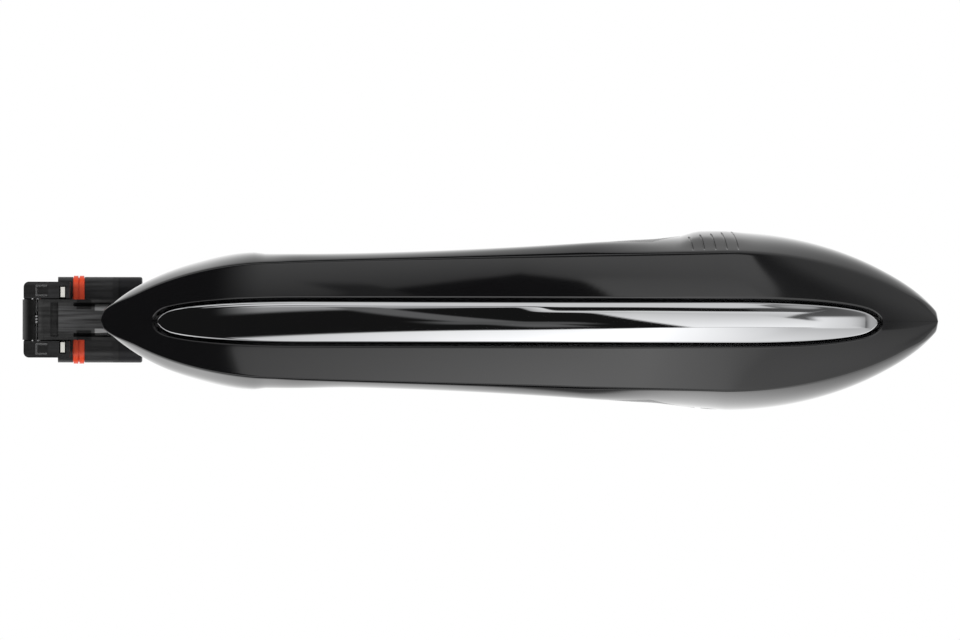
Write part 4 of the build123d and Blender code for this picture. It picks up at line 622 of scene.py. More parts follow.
class FinishShop:
    """Makes each material once, as a node tree on the object's own coordinates."""

    MIX_FACTOR, MIX_FIRST, MIX_SECOND, MIX_RESULT = 0, 6, 7, 2  # sockets of a colour Mix node
    PATCH_SCALE, PATCH_DETAIL = 90.0, 4.0  # noise scales are per metre
    GLOSS_SCALE, FINE_DETAIL = 260.0, 3.0
    LEAST_ROUGHNESS = 0.02
    COAT_ROUGHNESS, COAT_IOR = 0.02, 1.5
    TRANSMISSION = 0.9
    ZONE_EDGE, ZONE_INSET = 0.25, 0.2  # millimetres
    STREAK_STRETCH, STREAK_SCALE = (0.12, 1.0, 2.4), 700.0
    STREAK_LOW, STREAK_HIGH = 0.3, 0.7

    def __init__(self) -> None:
        """Starts with no material made."""
        self.made: dict[str, bpy.types.Material] = {}

    def get(self, key: str) -> bpy.types.Material:
        """Returns the material for a finish, making it on first use.

        Args:
            key: Name of the finish in FINISHES.

        Returns:
            The material.
        """
        if key not in self.made:
            self.made[key] = self._make(FINISHES[key])
        return self.made[key]

    def _make(self, finish: Finish) -> bpy.types.Material:
        """Builds one material.

        Args:
            finish: Colours and relief.

        Returns:
            The material.
        """
        material = bpy.data.materials.new(finish.name)
        material.use_nodes = True
        tree = material.node_tree
        shader = tree.nodes["Principled BSDF"]
        coords = tree.nodes.new("ShaderNodeTexCoord").outputs["Object"]
        patches = self._noise(tree, coords, self.PATCH_SCALE, self.PATCH_DETAIL)
        colour = tree.nodes.new("ShaderNodeMix")
        colour.data_type = "RGBA"
        colour.inputs[self.MIX_FIRST].default_value = (*finish.colour, 1)
        colour.inputs[self.MIX_SECOND].default_value = (*finish.second, 1)
        tree.links.new(patches, colour.inputs[self.MIX_FACTOR])
        shade = colour.outputs[self.MIX_RESULT]
        for zone in finish.zones:
            shade = self._zoned(tree, coords, shade, zone)
        if finish.streaks:
            shade = self._streaked(tree, coords, shade, finish.streaks)
        tree.links.new(shade, shader.inputs["Base Color"])
        rough = tree.nodes.new("ShaderNodeMapRange")
        rough.inputs["To Min"].default_value = max(finish.roughness - finish.spread, self.LEAST_ROUGHNESS)
        rough.inputs["To Max"].default_value = finish.roughness + finish.spread
        tree.links.new(self._noise(tree, coords, self.GLOSS_SCALE, self.FINE_DETAIL), rough.inputs["Value"])
        tree.links.new(rough.outputs["Result"], shader.inputs["Roughness"])
        shader.inputs["Metallic"].default_value = finish.metallic
        if finish.coat:
            shader.inputs["Coat Weight"].default_value = finish.coat
            shader.inputs["Coat Roughness"].default_value = self.COAT_ROUGHNESS
            shader.inputs["Coat IOR"].default_value = self.COAT_IOR
        if finish.surface is Surface.CLEAR:
            shader.inputs["Transmission Weight"].default_value = self.TRANSMISSION
        self._relief(tree, coords, shader, finish)
        return material

    @staticmethod
    def _noise(tree: bpy.types.NodeTree, coords: bpy.types.NodeSocket, scale: float,
               detail: float) -> bpy.types.NodeSocket:
        """Adds a noise texture.

        Args:
            tree: Node tree.
            coords: Coordinates to sample at.
            scale: Noise scale, per metre.
            detail: Octaves.

        Returns:
            The noise value's socket.
        """
        noise = tree.nodes.new("ShaderNodeTexNoise")
        noise.inputs["Scale"].default_value = scale
        noise.inputs["Detail"].default_value = detail
        tree.links.new(coords, noise.inputs["Vector"])
        return noise.outputs["Fac"]

    @staticmethod
    def _between(tree: bpy.types.NodeTree, value: bpy.types.NodeSocket, low: float, high: float,
                 edge: float) -> bpy.types.NodeSocket:
        """Adds nodes that give 1 where a value lies between two limits, with soft edges.

        Args:
            tree: Node tree.
            value: The value's socket.
            low: Lower limit.
            high: Upper limit.
            edge: Width of the soft edges.

        Returns:
            The socket of the result.
        """
        ends = []
        for start, stop in ((low - edge / 2, low + edge / 2), (high + edge / 2, high - edge / 2)):
            ramp = tree.nodes.new("ShaderNodeMapRange")
            ramp.inputs["From Min"].default_value = start
            ramp.inputs["From Max"].default_value = stop
            tree.links.new(value, ramp.inputs["Value"])
            ends.append(ramp.outputs["Result"])
        both = tree.nodes.new("ShaderNodeMath")
        both.operation = "MULTIPLY"
        tree.links.new(ends[0], both.inputs[0])
        tree.links.new(ends[1], both.inputs[1])
        return both.outputs[0]

    def _zoned(self, tree: bpy.types.NodeTree, coords: bpy.types.NodeSocket,
               shade: bpy.types.NodeSocket, zone: Zone) -> bpy.types.NodeSocket:
        """Adds the nodes of a zone over a colour.

        Args:
            tree: Node tree.
            coords: Object coordinates.
            shade: Colour outside the zone.
            zone: The zone.

        Returns:
            The colour's socket.
        """
        split = tree.nodes.new("ShaderNodeSeparateXYZ")
        tree.links.new(coords, split.inputs[0])
        away = tree.nodes.new("ShaderNodeMath")
        away.operation = "ABSOLUTE"
        tree.links.new(split.outputs["Z"], away.inputs[0])
        start, end, edge = zone.start - FIXING_X, zone.end - FIXING_X, self.ZONE_EDGE * MM
        along = self._between(tree, split.outputs["X"], start * MM, end * MM, edge)
        inner = (zone.inner - self.ZONE_INSET) * MM
        across = self._between(tree, away.outputs[0], inner, zone.outer * MM, edge)
        inside = tree.nodes.new("ShaderNodeMath")
        inside.operation = "MULTIPLY"
        tree.links.new(along, inside.inputs[0])
        tree.links.new(across, inside.inputs[1])
        mix = tree.nodes.new("ShaderNodeMix")
        mix.data_type = "RGBA"
        tree.links.new(inside.outputs[0], mix.inputs[self.MIX_FACTOR])
        tree.links.new(shade, mix.inputs[self.MIX_FIRST])
        mix.inputs[self.MIX_SECOND].default_value = (*zone.colour, 1)
        return mix.outputs[self.MIX_RESULT]

    def _streaked(self, tree: bpy.types.NodeTree, coords: bpy.types.NodeSocket,
                  shade: bpy.types.NodeSocket, strength: float) -> bpy.types.NodeSocket:
        """Adds fine lengthwise flow marks over a colour.

        Args:
            tree: Node tree.
            coords: Object coordinates.
            shade: The colour.
            strength: How far the marks lighten and darken it.

        Returns:
            The colour's socket.
        """
        stretch = tree.nodes.new("ShaderNodeMapping")
        stretch.inputs["Scale"].default_value = self.STREAK_STRETCH
        tree.links.new(coords, stretch.inputs["Vector"])
        marks = self._noise(tree, stretch.outputs["Vector"], self.STREAK_SCALE, self.FINE_DETAIL)
        gain = tree.nodes.new("ShaderNodeMapRange")
        gain.inputs["From Min"].default_value = self.STREAK_LOW
        gain.inputs["From Max"].default_value = self.STREAK_HIGH
        gain.inputs["To Min"].default_value = 1 - strength
        gain.inputs["To Max"].default_value = 1 + strength
        tree.links.new(marks, gain.inputs["Value"])
        scaled = tree.nodes.new("ShaderNodeVectorMath")
        scaled.operation = "SCALE"
        tree.links.new(shade, scaled.inputs[0])
        tree.links.new(gain.outputs["Result"], scaled.inputs["Scale"])
        return scaled.outputs[0]

    def _relief(self, tree: bpy.types.NodeTree, coords: bpy.types.NodeSocket,
                shader: bpy.types.ShaderNode, finish: Finish) -> None:
        """Adds the fine relief of a finish as a bump.

        Args:
            tree: Node tree.
            coords: Coordinates to sample at.
            shader: The surface shader.
            finish: Grain and depth of the relief.
        """
        if finish.surface in (Surface.GRAINED, Surface.LAMINATE):
            cells = tree.nodes.new("ShaderNodeTexVoronoi")
            cells.inputs["Scale"].default_value = 1 / (finish.grain * MM)
            tree.links.new(coords, cells.inputs["Vector"])
            height = cells.outputs["Distance"]
        else:
            height = self._noise(tree, coords, 1 / (finish.grain * MM), self.FINE_DETAIL)
        bump = tree.nodes.new("ShaderNodeBump")
        bump.inputs["Strength"].default_value = 1.0
        bump.inputs["Distance"].default_value = finish.relief * MM
        tree.links.new(height, bump.inputs["Height"])
        tree.links.new(bump.outputs["Normal"], shader.inputs["Normal"])


# ---------------------------------------------------------------- shaped pieces


GAP_GROWTH = 1.45  # from one distance between two sections to the next
LAST_GAP = 1.5  # how many such distances the last one may span
GRID_DIGITS = 5  # by which the columns and rows of a grid are told apart
SEAM = 1e-7  # distance within which a seam's points are merged, in metres


def graded(start: float, end: float, first: float, step: float) -> list[float]:
    """Places from start to end, closely spaced at the start.

    Args:
        start: First place.
        end: Last place; it may be lower than start.
        first: First distance between two places.
        step: Largest distance between two places.

    Returns:
        The places, start and end included.
    """
    sign, at, gap = (1 if end > start else -1), start, first
    places = [start]
    while abs(end - at) > gap * LAST_GAP:
        at += sign * gap
        places.append(at)
        gap = min(gap * GAP_GROWTH, step)
    return places + [end]


@dataclass
class Piece:
    """Base of the shaped pieces: builds a mesh and makes an object that stands for CAD nodes.

    Attributes:
        shop: Where its material comes from.
        name: Name of the object.
        nodes: The CAD nodes that it replaces.
        finish: Its finish, a name in FINISHES.
        slot: Name of a material slot; not used.
        sharp_angle: Angle from which an edge looks sharp, in degrees.
        body: The body that it rides on.
    """

    shop: FinishShop
    name: str
    nodes: tuple[str, ...]
    finish: str
    slot: str
    sharp_angle: float
    body: str = "grip_body"

    def build(self, mesh: bmesh.types.BMesh) -> None:
        """Fills the mesh, in metres, in the model's frame."""
        raise NotImplementedError

    def cutters(self, mesh: bmesh.types.BMesh) -> None:
        """Fills the mesh with what is cut away; nothing by default."""

    def add(self) -> bpy.types.Object:
        """Makes the object, rides it on its body and puts it in place of its nodes.

        Returns:
            The new object.
        """
        data = self.solid(self.name, self.build)
        cut = self.solid(self.name + "_cut", self.cutters)
        if len(cut.polygons):
            data = self.subtract(data, cut)
        mesh = bmesh.new()
        mesh.from_mesh(data)
        sharp = math.radians(self.sharp_angle)
        for edge in mesh.edges:
            edge.smooth = len(edge.link_faces) == 2 and edge.calc_face_angle(0.0) < sharp
        for face in mesh.faces:
            face.smooth = True
        mesh.to_mesh(data)
        mesh.free()
        data.materials.clear()
        data.materials.append(self.shop.get(self.finish))
        piece = bpy.data.objects.new(self.name, data)
        bpy.context.scene.collection.objects.link(piece)
        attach(piece, self.body)
        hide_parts(*self.nodes)
        log.info("%s: %d faces, for %s", self.name, len(data.polygons), ", ".join(self.nodes))
        return piece

    @staticmethod
    def solid(name: str, fill: Callable[[bmesh.types.BMesh], None]) -> bpy.types.Mesh:
        """Makes mesh data from a function that fills a bmesh, with its faces turned outwards.

        Args:
            name: Name of the mesh.
            fill: Function that takes the bmesh.

        Returns:
            The mesh data.
        """
        mesh = bmesh.new()
        fill(mesh)
        bmesh.ops.recalc_face_normals(mesh, faces=mesh.faces)
        data = bpy.data.meshes.new(name)
        mesh.to_mesh(data)
        mesh.free()
        return data

    @staticmethod
    def subtract(data: bpy.types.Mesh, cut: bpy.types.Mesh) -> bpy.types.Mesh:
        """Cuts one closed mesh out of another.

        Args:
            data: The piece.
            cut: What is taken away.

        Returns:
            The cut mesh data.
        """
        scene = bpy.context.scene.collection.objects
        whole, tool = bpy.data.objects.new("whole", data), bpy.data.objects.new("tool", cut)
        scene.link(whole)
        scene.link(tool)
        boolean = whole.modifiers.new("cut", "BOOLEAN")
        boolean.operation, boolean.solver, boolean.object = "DIFFERENCE", "EXACT", tool
        graph = bpy.context.evaluated_depsgraph_get()
        made = bpy.data.meshes.new_from_object(whole.evaluated_get(graph))
        made.name = data.name
        bpy.data.objects.remove(whole)
        bpy.data.objects.remove(tool)
        return made

    @staticmethod
    def tube(mesh: bmesh.types.BMesh, stations: list[float], loop: Callable[[float], Loop]) -> None:
        """Makes a closed tube from a grid whose columns are the loops round it.

        Args:
            mesh: Mesh to fill.
            stations: One number for each loop.
            loop: Function of a station that gives the loop's points, in millimetres from the pin.
        """
        loops = [loop(station) for station in stations]
        rows = len(loops[0]) + 1
        grid = bmesh.ops.create_grid(mesh, x_segments=len(stations) - 1, y_segments=rows - 1, size=1.0)
        ordered = sorted(grid["verts"], key=lambda vertex: tuple(
            round(value, GRID_DIGITS) for value in vertex.co.xy))
        seam = []
        for n, points in enumerate(loops):
            line = ordered[n * rows:(n + 1) * rows]
            for vertex, point in zip(line, points + points[:1]):
                vertex.co = place(*point)
            seam += [line[0], line[-1]]
        bmesh.ops.remove_doubles(mesh, verts=seam, dist=SEAM)
        left = {vertex for vertex in ordered if vertex.is_valid}
        ends = [edge for edge in mesh.edges if edge.is_boundary and edge.verts[0] in left]
        bmesh.ops.holes_fill(mesh, edges=ends, sides=0)

    @staticmethod
    def closed(x: float, upper: Pairs, lower: Pairs, drop: float = 0.0) -> Loop:
        """Closes two half sections, which start and end on the middle line, into a loop.

        Args:
            x: Place along the grip.
            upper: The upper half.
            lower: The lower half.
            drop: Height to move the loop by.

        Returns:
            The loop's points.
        """
        above = [(x, -height, z + drop) for z, height in upper]
        below = [(x, -height, -z + drop) for z, height in lower]
        return above + below[-2:0:-1]


@dataclass
class OuterShell(Piece):
    """The painted shell: crowned face, creases, bowed side walls, the trim's recess and the grooves."""

    name: str = "painted_shell"
    nodes: tuple[str, ...] = ("outer_shell",)
    finish: str = "paint"
    slot: str = "shell_paint"
    sharp_angle: float = 30.0

    hair: float = 0.02  # least width of what runs out at the tips
    rim_limit: float = 0.6  # of the crease's half width
    recess_run: float = 1.05  # of the recess's sloped wall
    floor_share: float = 0.4  # least half width of its floor, as a share of the rim's
    wall_middle: float = 0.66  # shares of the recess's depth in the middle and at the top of that wall
    wall_top: float = 0.34
    lip: float = 0.5  # radius of the rolled edge round the recess
    lip_curve: tuple[tuple[float, float], ...] = (
        (0.0, 0.7), (0.1, 0.45), (0.3, 0.24), (0.7, 0.08), (1.0, 0.0))  # shares outwards and downwards

    face_rows: int = 12
    face_start: float = 0.06  # of the face's first row beyond the lip
    face_power: float = 1.3  # higher draws the face's rows closer together towards the crease
    ease: float = 0.55  # reach of the creases' softening
    ease_share: float = 0.4  # of the face and of the side wall, at most
    ease_margin: float = 1.02  # how much of that reach is kept clear of the face's rows
    ease_rows: int = 6
    side_rows: int = 18
    least_side: float = 0.3  # least height of the side wall

    roof: float = 4.2  # depth of the hollow's roof below the face
    wall: float = 4.3  # thickness of the side wall at the parting line
    inner_share: float = 0.4  # least half width of the hollow, as a share of the crease's
    least_roof: float = 0.05
    hollow_front: float = 30.0
    hollow_rear: float = 219.0
    hollow_end: float = 1.0  # length of the hollow's end walls

    tip_inset: float = 0.004  # of the first and last section, and the least distance between two
    front_split: float = 24.0  # between the tips of the grip and of the recess
    rear_split: float = 225.0
    even_start: float = 60.0
    even_end: float = 165.0
    even_step: float = 1.5
    tip_steps: tuple[float, float] = (0.01, 0.8)  # first and largest distance between two sections
    split_steps: tuple[float, float] = (0.3, 1.2)
    recess_steps: tuple[float, float] = (0.02, 1.4)
    recess_jump: float = 0.01  # over which the recess begins

    def recess_edge(self, x: float, upper: bool) -> Pairs:
        """Half of the trim's recess: floor, sloped wall and rolled lip.

        Args:
            x: Place along the grip.
            upper: Whether it is the upper half.

        Returns:
            The points.
        """
        grown = TRIM.width(x, TRIM.gap)
        inside = grown > 0.0
        depth = TRIM.recess if inside else 0.0
        shift = (TRIM.drop if upper else -TRIM.drop) * inside
        rim = min(max(grown, self.hair), self.rim_limit * GRIP.crease(x)) + shift
        floor = max(rim - self.recess_run, self.floor_share * rim)
        middle, top = ((floor + rim) / 2, self.wall_middle), (rim - self.hair, self.wall_top)
        points = []
        for z, drop in ((0.0, 1.0), (0.5 * floor, 1.0), (floor, 1.0), middle, top):
            points.append((max(z, 0.0), GRIP.face(x, z) - depth * drop))
        roll = self.lip if inside else 0.0
        for out, drop in self.lip_curve:
            z = rim + max(roll, self.hair) * out
            points.append((z, GRIP.face(x, z) - roll * drop))
        return points

    def eased_crease(self, x: float, upper: bool, ease: float) -> Pairs:
        """The crease, softened by a short curve from the face to the side wall.

        Args:
            x: Place along the grip.
            upper: Whether it is the upper crease.
            ease: Distance from the crease at which the curve starts and ends.

        Returns:
            The points.
        """
        crease, high = GRIP.crease(x), GRIP.shoulder_height(x)
        ahead = (crease - ease, GRIP.face(x, crease - ease))
        after = (GRIP.side(x, high - ease, upper), high - ease)
        corners = (ahead, (crease, high), after)
        points = []
        for n in range(self.ease_rows + 1):
            share = n / self.ease_rows
            weights = ((1 - share) ** 2, 2 * share * (1 - share), share**2)
            z, height = (sum(w * corner[axis] for w, corner in zip(weights, corners)) for axis in (0, 1))
            points.append((z, height))
        return points

    def half_profile(self, x: float, upper: bool) -> Pairs:
        """Half a section: recess, face, crease, side wall, parting edge and the hollow behind it.

        Args:
            x: Place along the grip.
            upper: Whether it is the upper half.

        Returns:
            The points.
        """
        points = self.recess_edge(x, upper)
        edge_rows, start = len(points), points[-1][0]
        crease, high = GRIP.crease(x), GRIP.shoulder_height(x)
        first = start + self.face_start
        for n in range(self.face_rows):
            z = first + (crease - first) * (1 - (1 - n / self.face_rows) ** self.face_power)
            points.append((z, GRIP.face(x, z)))
        low = min(GRIP.parting(x), high - self.least_side)
        ease = min(self.ease, self.ease_share * (crease - start), self.ease_share * (high - low))
        while points[-1][0] > crease - ease * self.ease_margin:
            points.pop()
        points += self.eased_crease(x, upper, ease)
        while len(points) < edge_rows + self.face_rows + self.ease_rows + 1:
            points.insert(edge_rows + 1, points[edge_rows])
        for n in range(1, self.side_rows + 1):
            height = high - ease + (low - high + ease) * n / self.side_rows
            points.append((GRIP.side(x, height, upper), height))
        front = smooth_step(x, self.hollow_front, self.hollow_front + self.hollow_end)
        rear = 1 - smooth_step(x, self.hollow_rear - self.hollow_end, self.hollow_rear)
        inner = max(crease - self.wall, crease * self.inner_share)
        roof = low + max((GRIP.top(x) - self.roof - low) * front * rear, self.least_roof)
        return points + [(inner, low), (inner, roof), (inner / 2, roof), (0.0, roof)]

    def columns(self) -> list[float]:
        """Places of the sections, close together at the tips of the grip and of the recess.

        Returns:
            The places along the grip, in order.
        """
        reach = TRIM.tip_reach * TRIM.gap
        recess_front, recess_rear = TRIM.front - reach, TRIM.rear + reach
        places = graded(GRIP.front - GRIP.reach + self.tip_inset, self.front_split, *self.tip_steps)
        places += graded(recess_front - self.recess_jump, self.front_split, *self.split_steps)
        places += graded(recess_front, self.even_start, *self.recess_steps)
        evens = round((self.even_end - self.even_start) / self.even_step)
        places += [self.even_start + self.even_step * n for n in range(1, evens)]
        places += graded(recess_rear, self.even_end, *self.recess_steps)
        places += graded(recess_rear + self.recess_jump, self.rear_split, *self.split_steps)
        places += graded(GRIP.rear - self.tip_inset, self.rear_split, *self.tip_steps)
        ordered = sorted(set(places))
        return [x for n, x in enumerate(ordered) if n == 0 or x - ordered[n - 1] > self.tip_inset]

    def build(self, mesh: bmesh.types.BMesh) -> None:
        """Builds the shell from its sections."""
        self.tube(mesh, self.columns(),
                  lambda x: self.closed(x, self.half_profile(x, True), self.half_profile(x, False)))

    def cutters(self, mesh: bmesh.types.BMesh) -> None:
        """Builds the five grooves' cutters, which follow the wall."""
        shares = [step / FIELD.steps for step in range(FIELD.steps + 1)]
        for n, inner in enumerate(FIELD.inner_heights):
            start = FIELD.first + FIELD.pitch * n
            self.tube(mesh, shares, lambda share: self.groove_section(start, inner, share))

    @staticmethod
    def groove_section(start: float, inner: float, share: float) -> Loop:
        """Gives a section of one groove's cutter.

        Args:
            start: Place of the groove's outer end along the grip.
            inner: Height of its inner end.
            share: How far along the groove, from 0 at its outer end to 1.

        Returns:
            The section's points.
        """
        outer = GRIP.shoulder_height(start) - FIELD.outer_margin
        height = outer + (inner - outer) * share
        x = start - FIELD.slant * (outer - height)
        surface = GRIP.side(x, height, True)
        away = abs(2 * share - 1)  # from the groove's middle
        full_depth = FIELD.depth * (1 - FIELD.shallowing * share)
        depth = full_depth * (1 - away**FIELD.depth_power) + FIELD.least_depth
        fullness = FIELD.end_width + (1 - FIELD.end_width) * (1 - away**FIELD.width_power)
        half = FIELD.width / 2 * fullness
        near, far = GRIP.side(x, height + FIELD.probe, True), GRIP.side(x, height - FIELD.probe, True)
        slope = (near - far) / (2 * FIELD.probe)
        length = math.hypot(slope, 1.0)
        out_z, out_y = 1 / length, slope / length
        left = [(-half, FIELD.overrun), (-half, -depth / 2), (-half / 2, -depth)]
        right = [(-across, rise) for across, rise in reversed(left)]
        return [(x + across, -height + out_y * rise, surface + out_z * rise) for across, rise in left + right]


@dataclass(frozen=True)
class Bend:
    """A stretch of a section where the surface turns down more than its crown.

    Attributes:
        start: Distance from the middle line at which it starts.
        end: Distance at which it ends.
        slope: Slope that it adds.
    """

    start: float
    end: float
    slope: float

    def fall(self, z: float) -> float:
        """How much lower the bend leaves the surface.

        Args:
            z: Distance from the middle line.

        Returns:
            The distance, in millimetres.
        """
        run = self.end - self.start
        share = min(max((z - self.start) / run, 0.0), 1.0)
        return self.slope * (run * (share**3 - share**4 / 2) + max(z - self.end, 0.0))


@dataclass
class TrimStrip(Piece):
    """The chrome spear: a gently crowned strip with a fine upper bevel, rolled edges and tapered tips."""

    name: str = "chrome_trim"
    nodes: tuple[str, ...] = ("trim_strip",)
    finish: str = "chrome"
    slot: str = "trim_chrome"
    sharp_angle: float = 60.0

    crown_rows: int = 30
    edge_rows: int = 6
    edge_radius: float = 0.55
    least_width: float = 0.03
    tip_proud: float = 0.3  # share of its height above the grip that is left at the tips
    front_settle: float = 7.0
    rear_settle: float = 2.5

    bend_start: float = 0.49  # shares of the crowned part's width
    bend_end: float = 0.60
    bevel_start: float = 0.80
    bevel_end: float = 0.89
    bend_slope: float = 0.272  # least slope behind the bend
    bend_gain: float = 0.03  # what that gains towards the rear
    gain_start: float = 150.0  # where along the grip the gain sets in and is full
    gain_full: float = 190.0
    bend_front: float = 122.0  # where the bend sets in and is full
    bend_full: float = 134.0
    bevel_slope: float = 0.138  # of the bevel, beyond the bend's
    bevel_front: float = 37.0  # where the bevel sets in, is full, starts to fade and ends
    bevel_full: float = 42.0
    bevel_fade: float = 197.0
    bevel_rear: float = 205.0

    middle: float = 75.0  # where the sections from the two tips meet
    tip_inset: float = 0.004
    steps: tuple[float, float] = (0.012, 1.2)  # first and largest distance between two sections

    def bends(self, x: float, flat: float) -> list[Bend]:
        """Bends of the upper half; together they make the fine bevel along its edge.

        Args:
            x: Place along the grip.
            flat: Half width of the crowned part.

        Returns:
            The bends.
        """
        crown = TRIM.crown(x)
        start, end = self.bend_start * flat, self.bend_end * flat
        wanted = self.bend_slope + self.bend_gain * smooth_step(x, self.gain_start, self.gain_full)
        first = max(wanted - end / crown, 0.0) * smooth_step(x, self.bend_front, self.bend_full)
        second = max(wanted + self.bevel_slope - self.bevel_end * flat / crown - first, 0.0)
        lasting = smooth_step(x, self.bevel_front, self.bevel_full)
        lasting *= 1 - smooth_step(x, self.bevel_fade, self.bevel_rear)
        bevel = Bend(self.bevel_start * flat, self.bevel_end * flat, second * lasting)
        return [Bend(start, end, first * lasting), bevel]

    def half_profile(self, x: float, upper: bool) -> Pairs:
        """Half a section, from the crest to the middle of the back.

        Args:
            x: Place along the grip.
            upper: Whether it is the upper half, which has the bevel.

        Returns:
            The points.
        """
        width = max(TRIM.width(x), self.least_width)
        radius = min(self.edge_radius, width / 2)
        settle = smooth_step(x - TRIM.front, 0.0, self.front_settle)
        settle *= smooth_step(TRIM.rear - x, 0.0, self.rear_settle)
        crest = GRIP.top(x) + TRIM.proud * (self.tip_proud + (1 - self.tip_proud) * settle)
        flat, crown = width - radius, TRIM.crown(x)
        bends = self.bends(x, flat) if upper else []
        points = []
        for n in range(self.crown_rows + 1):
            z = flat * n / self.crown_rows
            points.append((z, crest - z * z / (2 * crown) - sum(bend.fall(z) for bend in bends)))
        lean = math.atan(flat / crown + sum(bend.slope for bend in bends))
        centre = points[-1][1] - radius
        for n in range(1, self.edge_rows + 1):
            turn = lean + (math.pi / 2 - lean) * n / self.edge_rows
            points.append((flat + radius * math.sin(turn), centre + radius * math.cos(turn)))
        back = GRIP.top(x) - TRIM.back
        return points + [(width, back), (width / 2, back), (0.0, back)]

    def build(self, mesh: bmesh.types.BMesh) -> None:
        """Builds the strip from its sections."""
        places = graded(TRIM.front + self.tip_inset, self.middle, *self.steps)
        places += graded(TRIM.rear - self.tip_inset, self.middle, *self.steps)
        self.tube(mesh, sorted(set(places)), lambda x: self.closed(
            x, self.half_profile(x, True), self.half_profile(x, False), TRIM.drop))


# ---------------------------------------------------------------- set


@dataclass(frozen=True)
class Panel:
    """One lit or dark panel of the studio, as directions seen from the handle, in degrees.

    Attributes:
        levels: Brightness at its corners, top left, top right, bottom left, bottom right; 1 is white.
        left: Bearing of its left edge.
        right: Bearing of its right edge.
        low: Lowest elevation.
        high: Highest elevation.
        soft: Width of its soft edges, left, right, low and high.
        lean: How far its sides lean to the right for each degree of elevation.
        sag: How far its low edge falls for each degree of bearing away from straight ahead.
    """

    levels: tuple[float, float, float, float]
    left: float
    right: float
    low: float
    high: float
    soft: tuple[float, float, float, float] = (3.0, 3.0, 3.0, 3.0)
    lean: float = 0.0
    sag: float = 0.0

    def share(self, bearing: float, lift: float) -> float:
        """Share of the panel in a direction.

        Args:
            bearing: Degrees to the right of the camera.
            lift: Degrees above it.

        Returns:
            A share, from 0 outside the panel to 1 inside.
        """
        across = bearing - self.lean * lift
        low_edge = self.low - self.sag * abs(bearing)
        left, right, low, high = self.soft
        inside = smooth_step(across, self.left - left / 2, self.left + left / 2)
        inside *= 1 - smooth_step(across, self.right - right / 2, self.right + right / 2)
        inside *= smooth_step(lift, low_edge - low / 2, low_edge + low / 2)
        return inside * (1 - smooth_step(lift, self.high - high / 2, self.high + high / 2))

    def level(self, bearing: float, lift: float) -> float:
        """Brightness of the panel in a direction.

        Args:
            bearing: Degrees to the right of the camera.
            lift: Degrees above it.

        Returns:
            The brightness; 1 is white.
        """
        across = min(max((bearing - self.left) / (self.right - self.left), 0.0), 1.0)
        bottom = self.low - self.sag * abs(bearing)
        up = min(max((lift - bottom) / (self.high - bottom), 0.0), 1.0)
        top_left, top_right, bottom_left, bottom_right = self.levels
        return (top_left + (top_right - top_left) * across) * up + (
            bottom_left + (bottom_right - bottom_left) * across) * (1 - up)


def even(level: float) -> tuple[float, float, float, float]:
    """Levels of a panel that is equally bright all over."""
    return (level, level, level, level)


PANELS = (
    # surroundings above and below the dark room in front
    Panel(even(0.66), -200.0, 40.5, 38.0, 54.0, (1, 1.2, 3, 8)),
    Panel(even(0.75), -200.0, 42.0, -58.0, -38.0, (1, 6, 8, 4)),
    Panel((0.90, 0.90, 0.30, 0.40), 42.0, 200.0, 30.0, 110.0, (10, 1, 14, 1)),
    Panel((0.50, 0.60, 1.00, 1.00), 38.0, 200.0, -110.0, -30.0, (6, 1, 1, 6)),
    # pale room at the right
    Panel((0.06, 0.10, 0.12, 0.12), 35.0, 62.0, 4.0, 38.0, (3, 8, 6, 6)),
    Panel((0.30, 0.50, 0.24, 0.42), 50.0, 76.0, -16.0, 50.0, (10, 1, 8, 16)),
    Panel(even(0.42), 57.0, 200.0, -32.0, 34.0, (14, 1, 16, 16)),
    # softbox above the camera
    Panel((0.74, 0.74, 0.20, 0.345), -37.5, 4.0, 22.0, 30.5, (8, 3, 2.5, 1.2), -0.07, 0.45),
    Panel((0.74, 0.74, 0.30, 0.50), -12.0, 32.3, 22.0, 30.5, (3, 1.5, 2.5, 1.2), 0.34, 0.45),
    # white table below it
    Panel((0.60, 1.15, 0.75, 1.50), -39.5, 10.0, -36.0, -10.8, (1.5, 1, 2, 1.5)),
    Panel((1.12, 1.40, 1.47, 1.32), 7.0, 20.0, -40.0, -10.8, (6, 1, 2, 1.5)),
    Panel((1.35, 0.52, 1.36, 0.80), 17.0, 40.0, -43.0, -10.8, (6, 1, 2, 1.5)),
    Panel((0.55, 0.40, 0.90, 0.60), 37.0, 66.0, -43.0, -10.8, (6, 12, 6, 2)),
    # softbox at the right of the camera
    Panel((0.60, 0.60, 1.02, 1.02), 18.0, 42.0, -10.4, 19.5, (1.5, 2, 1, 3), -0.50),
    Panel((0.92, 0.60, 0.92, 0.60), 40.0, 47.5, -12.0, 13.0, (2, 6, 2, 6)),
    # pale strips far behind the camera
    Panel(even(0.11), -8.0, 1.0, -7.0, 16.0, (4, 2, 3, 3), -1.32),
    Panel(even(0.09), -13.0, 8.0, -3.0, 0.5, (6, 4, 2, 2), -1.0),
)


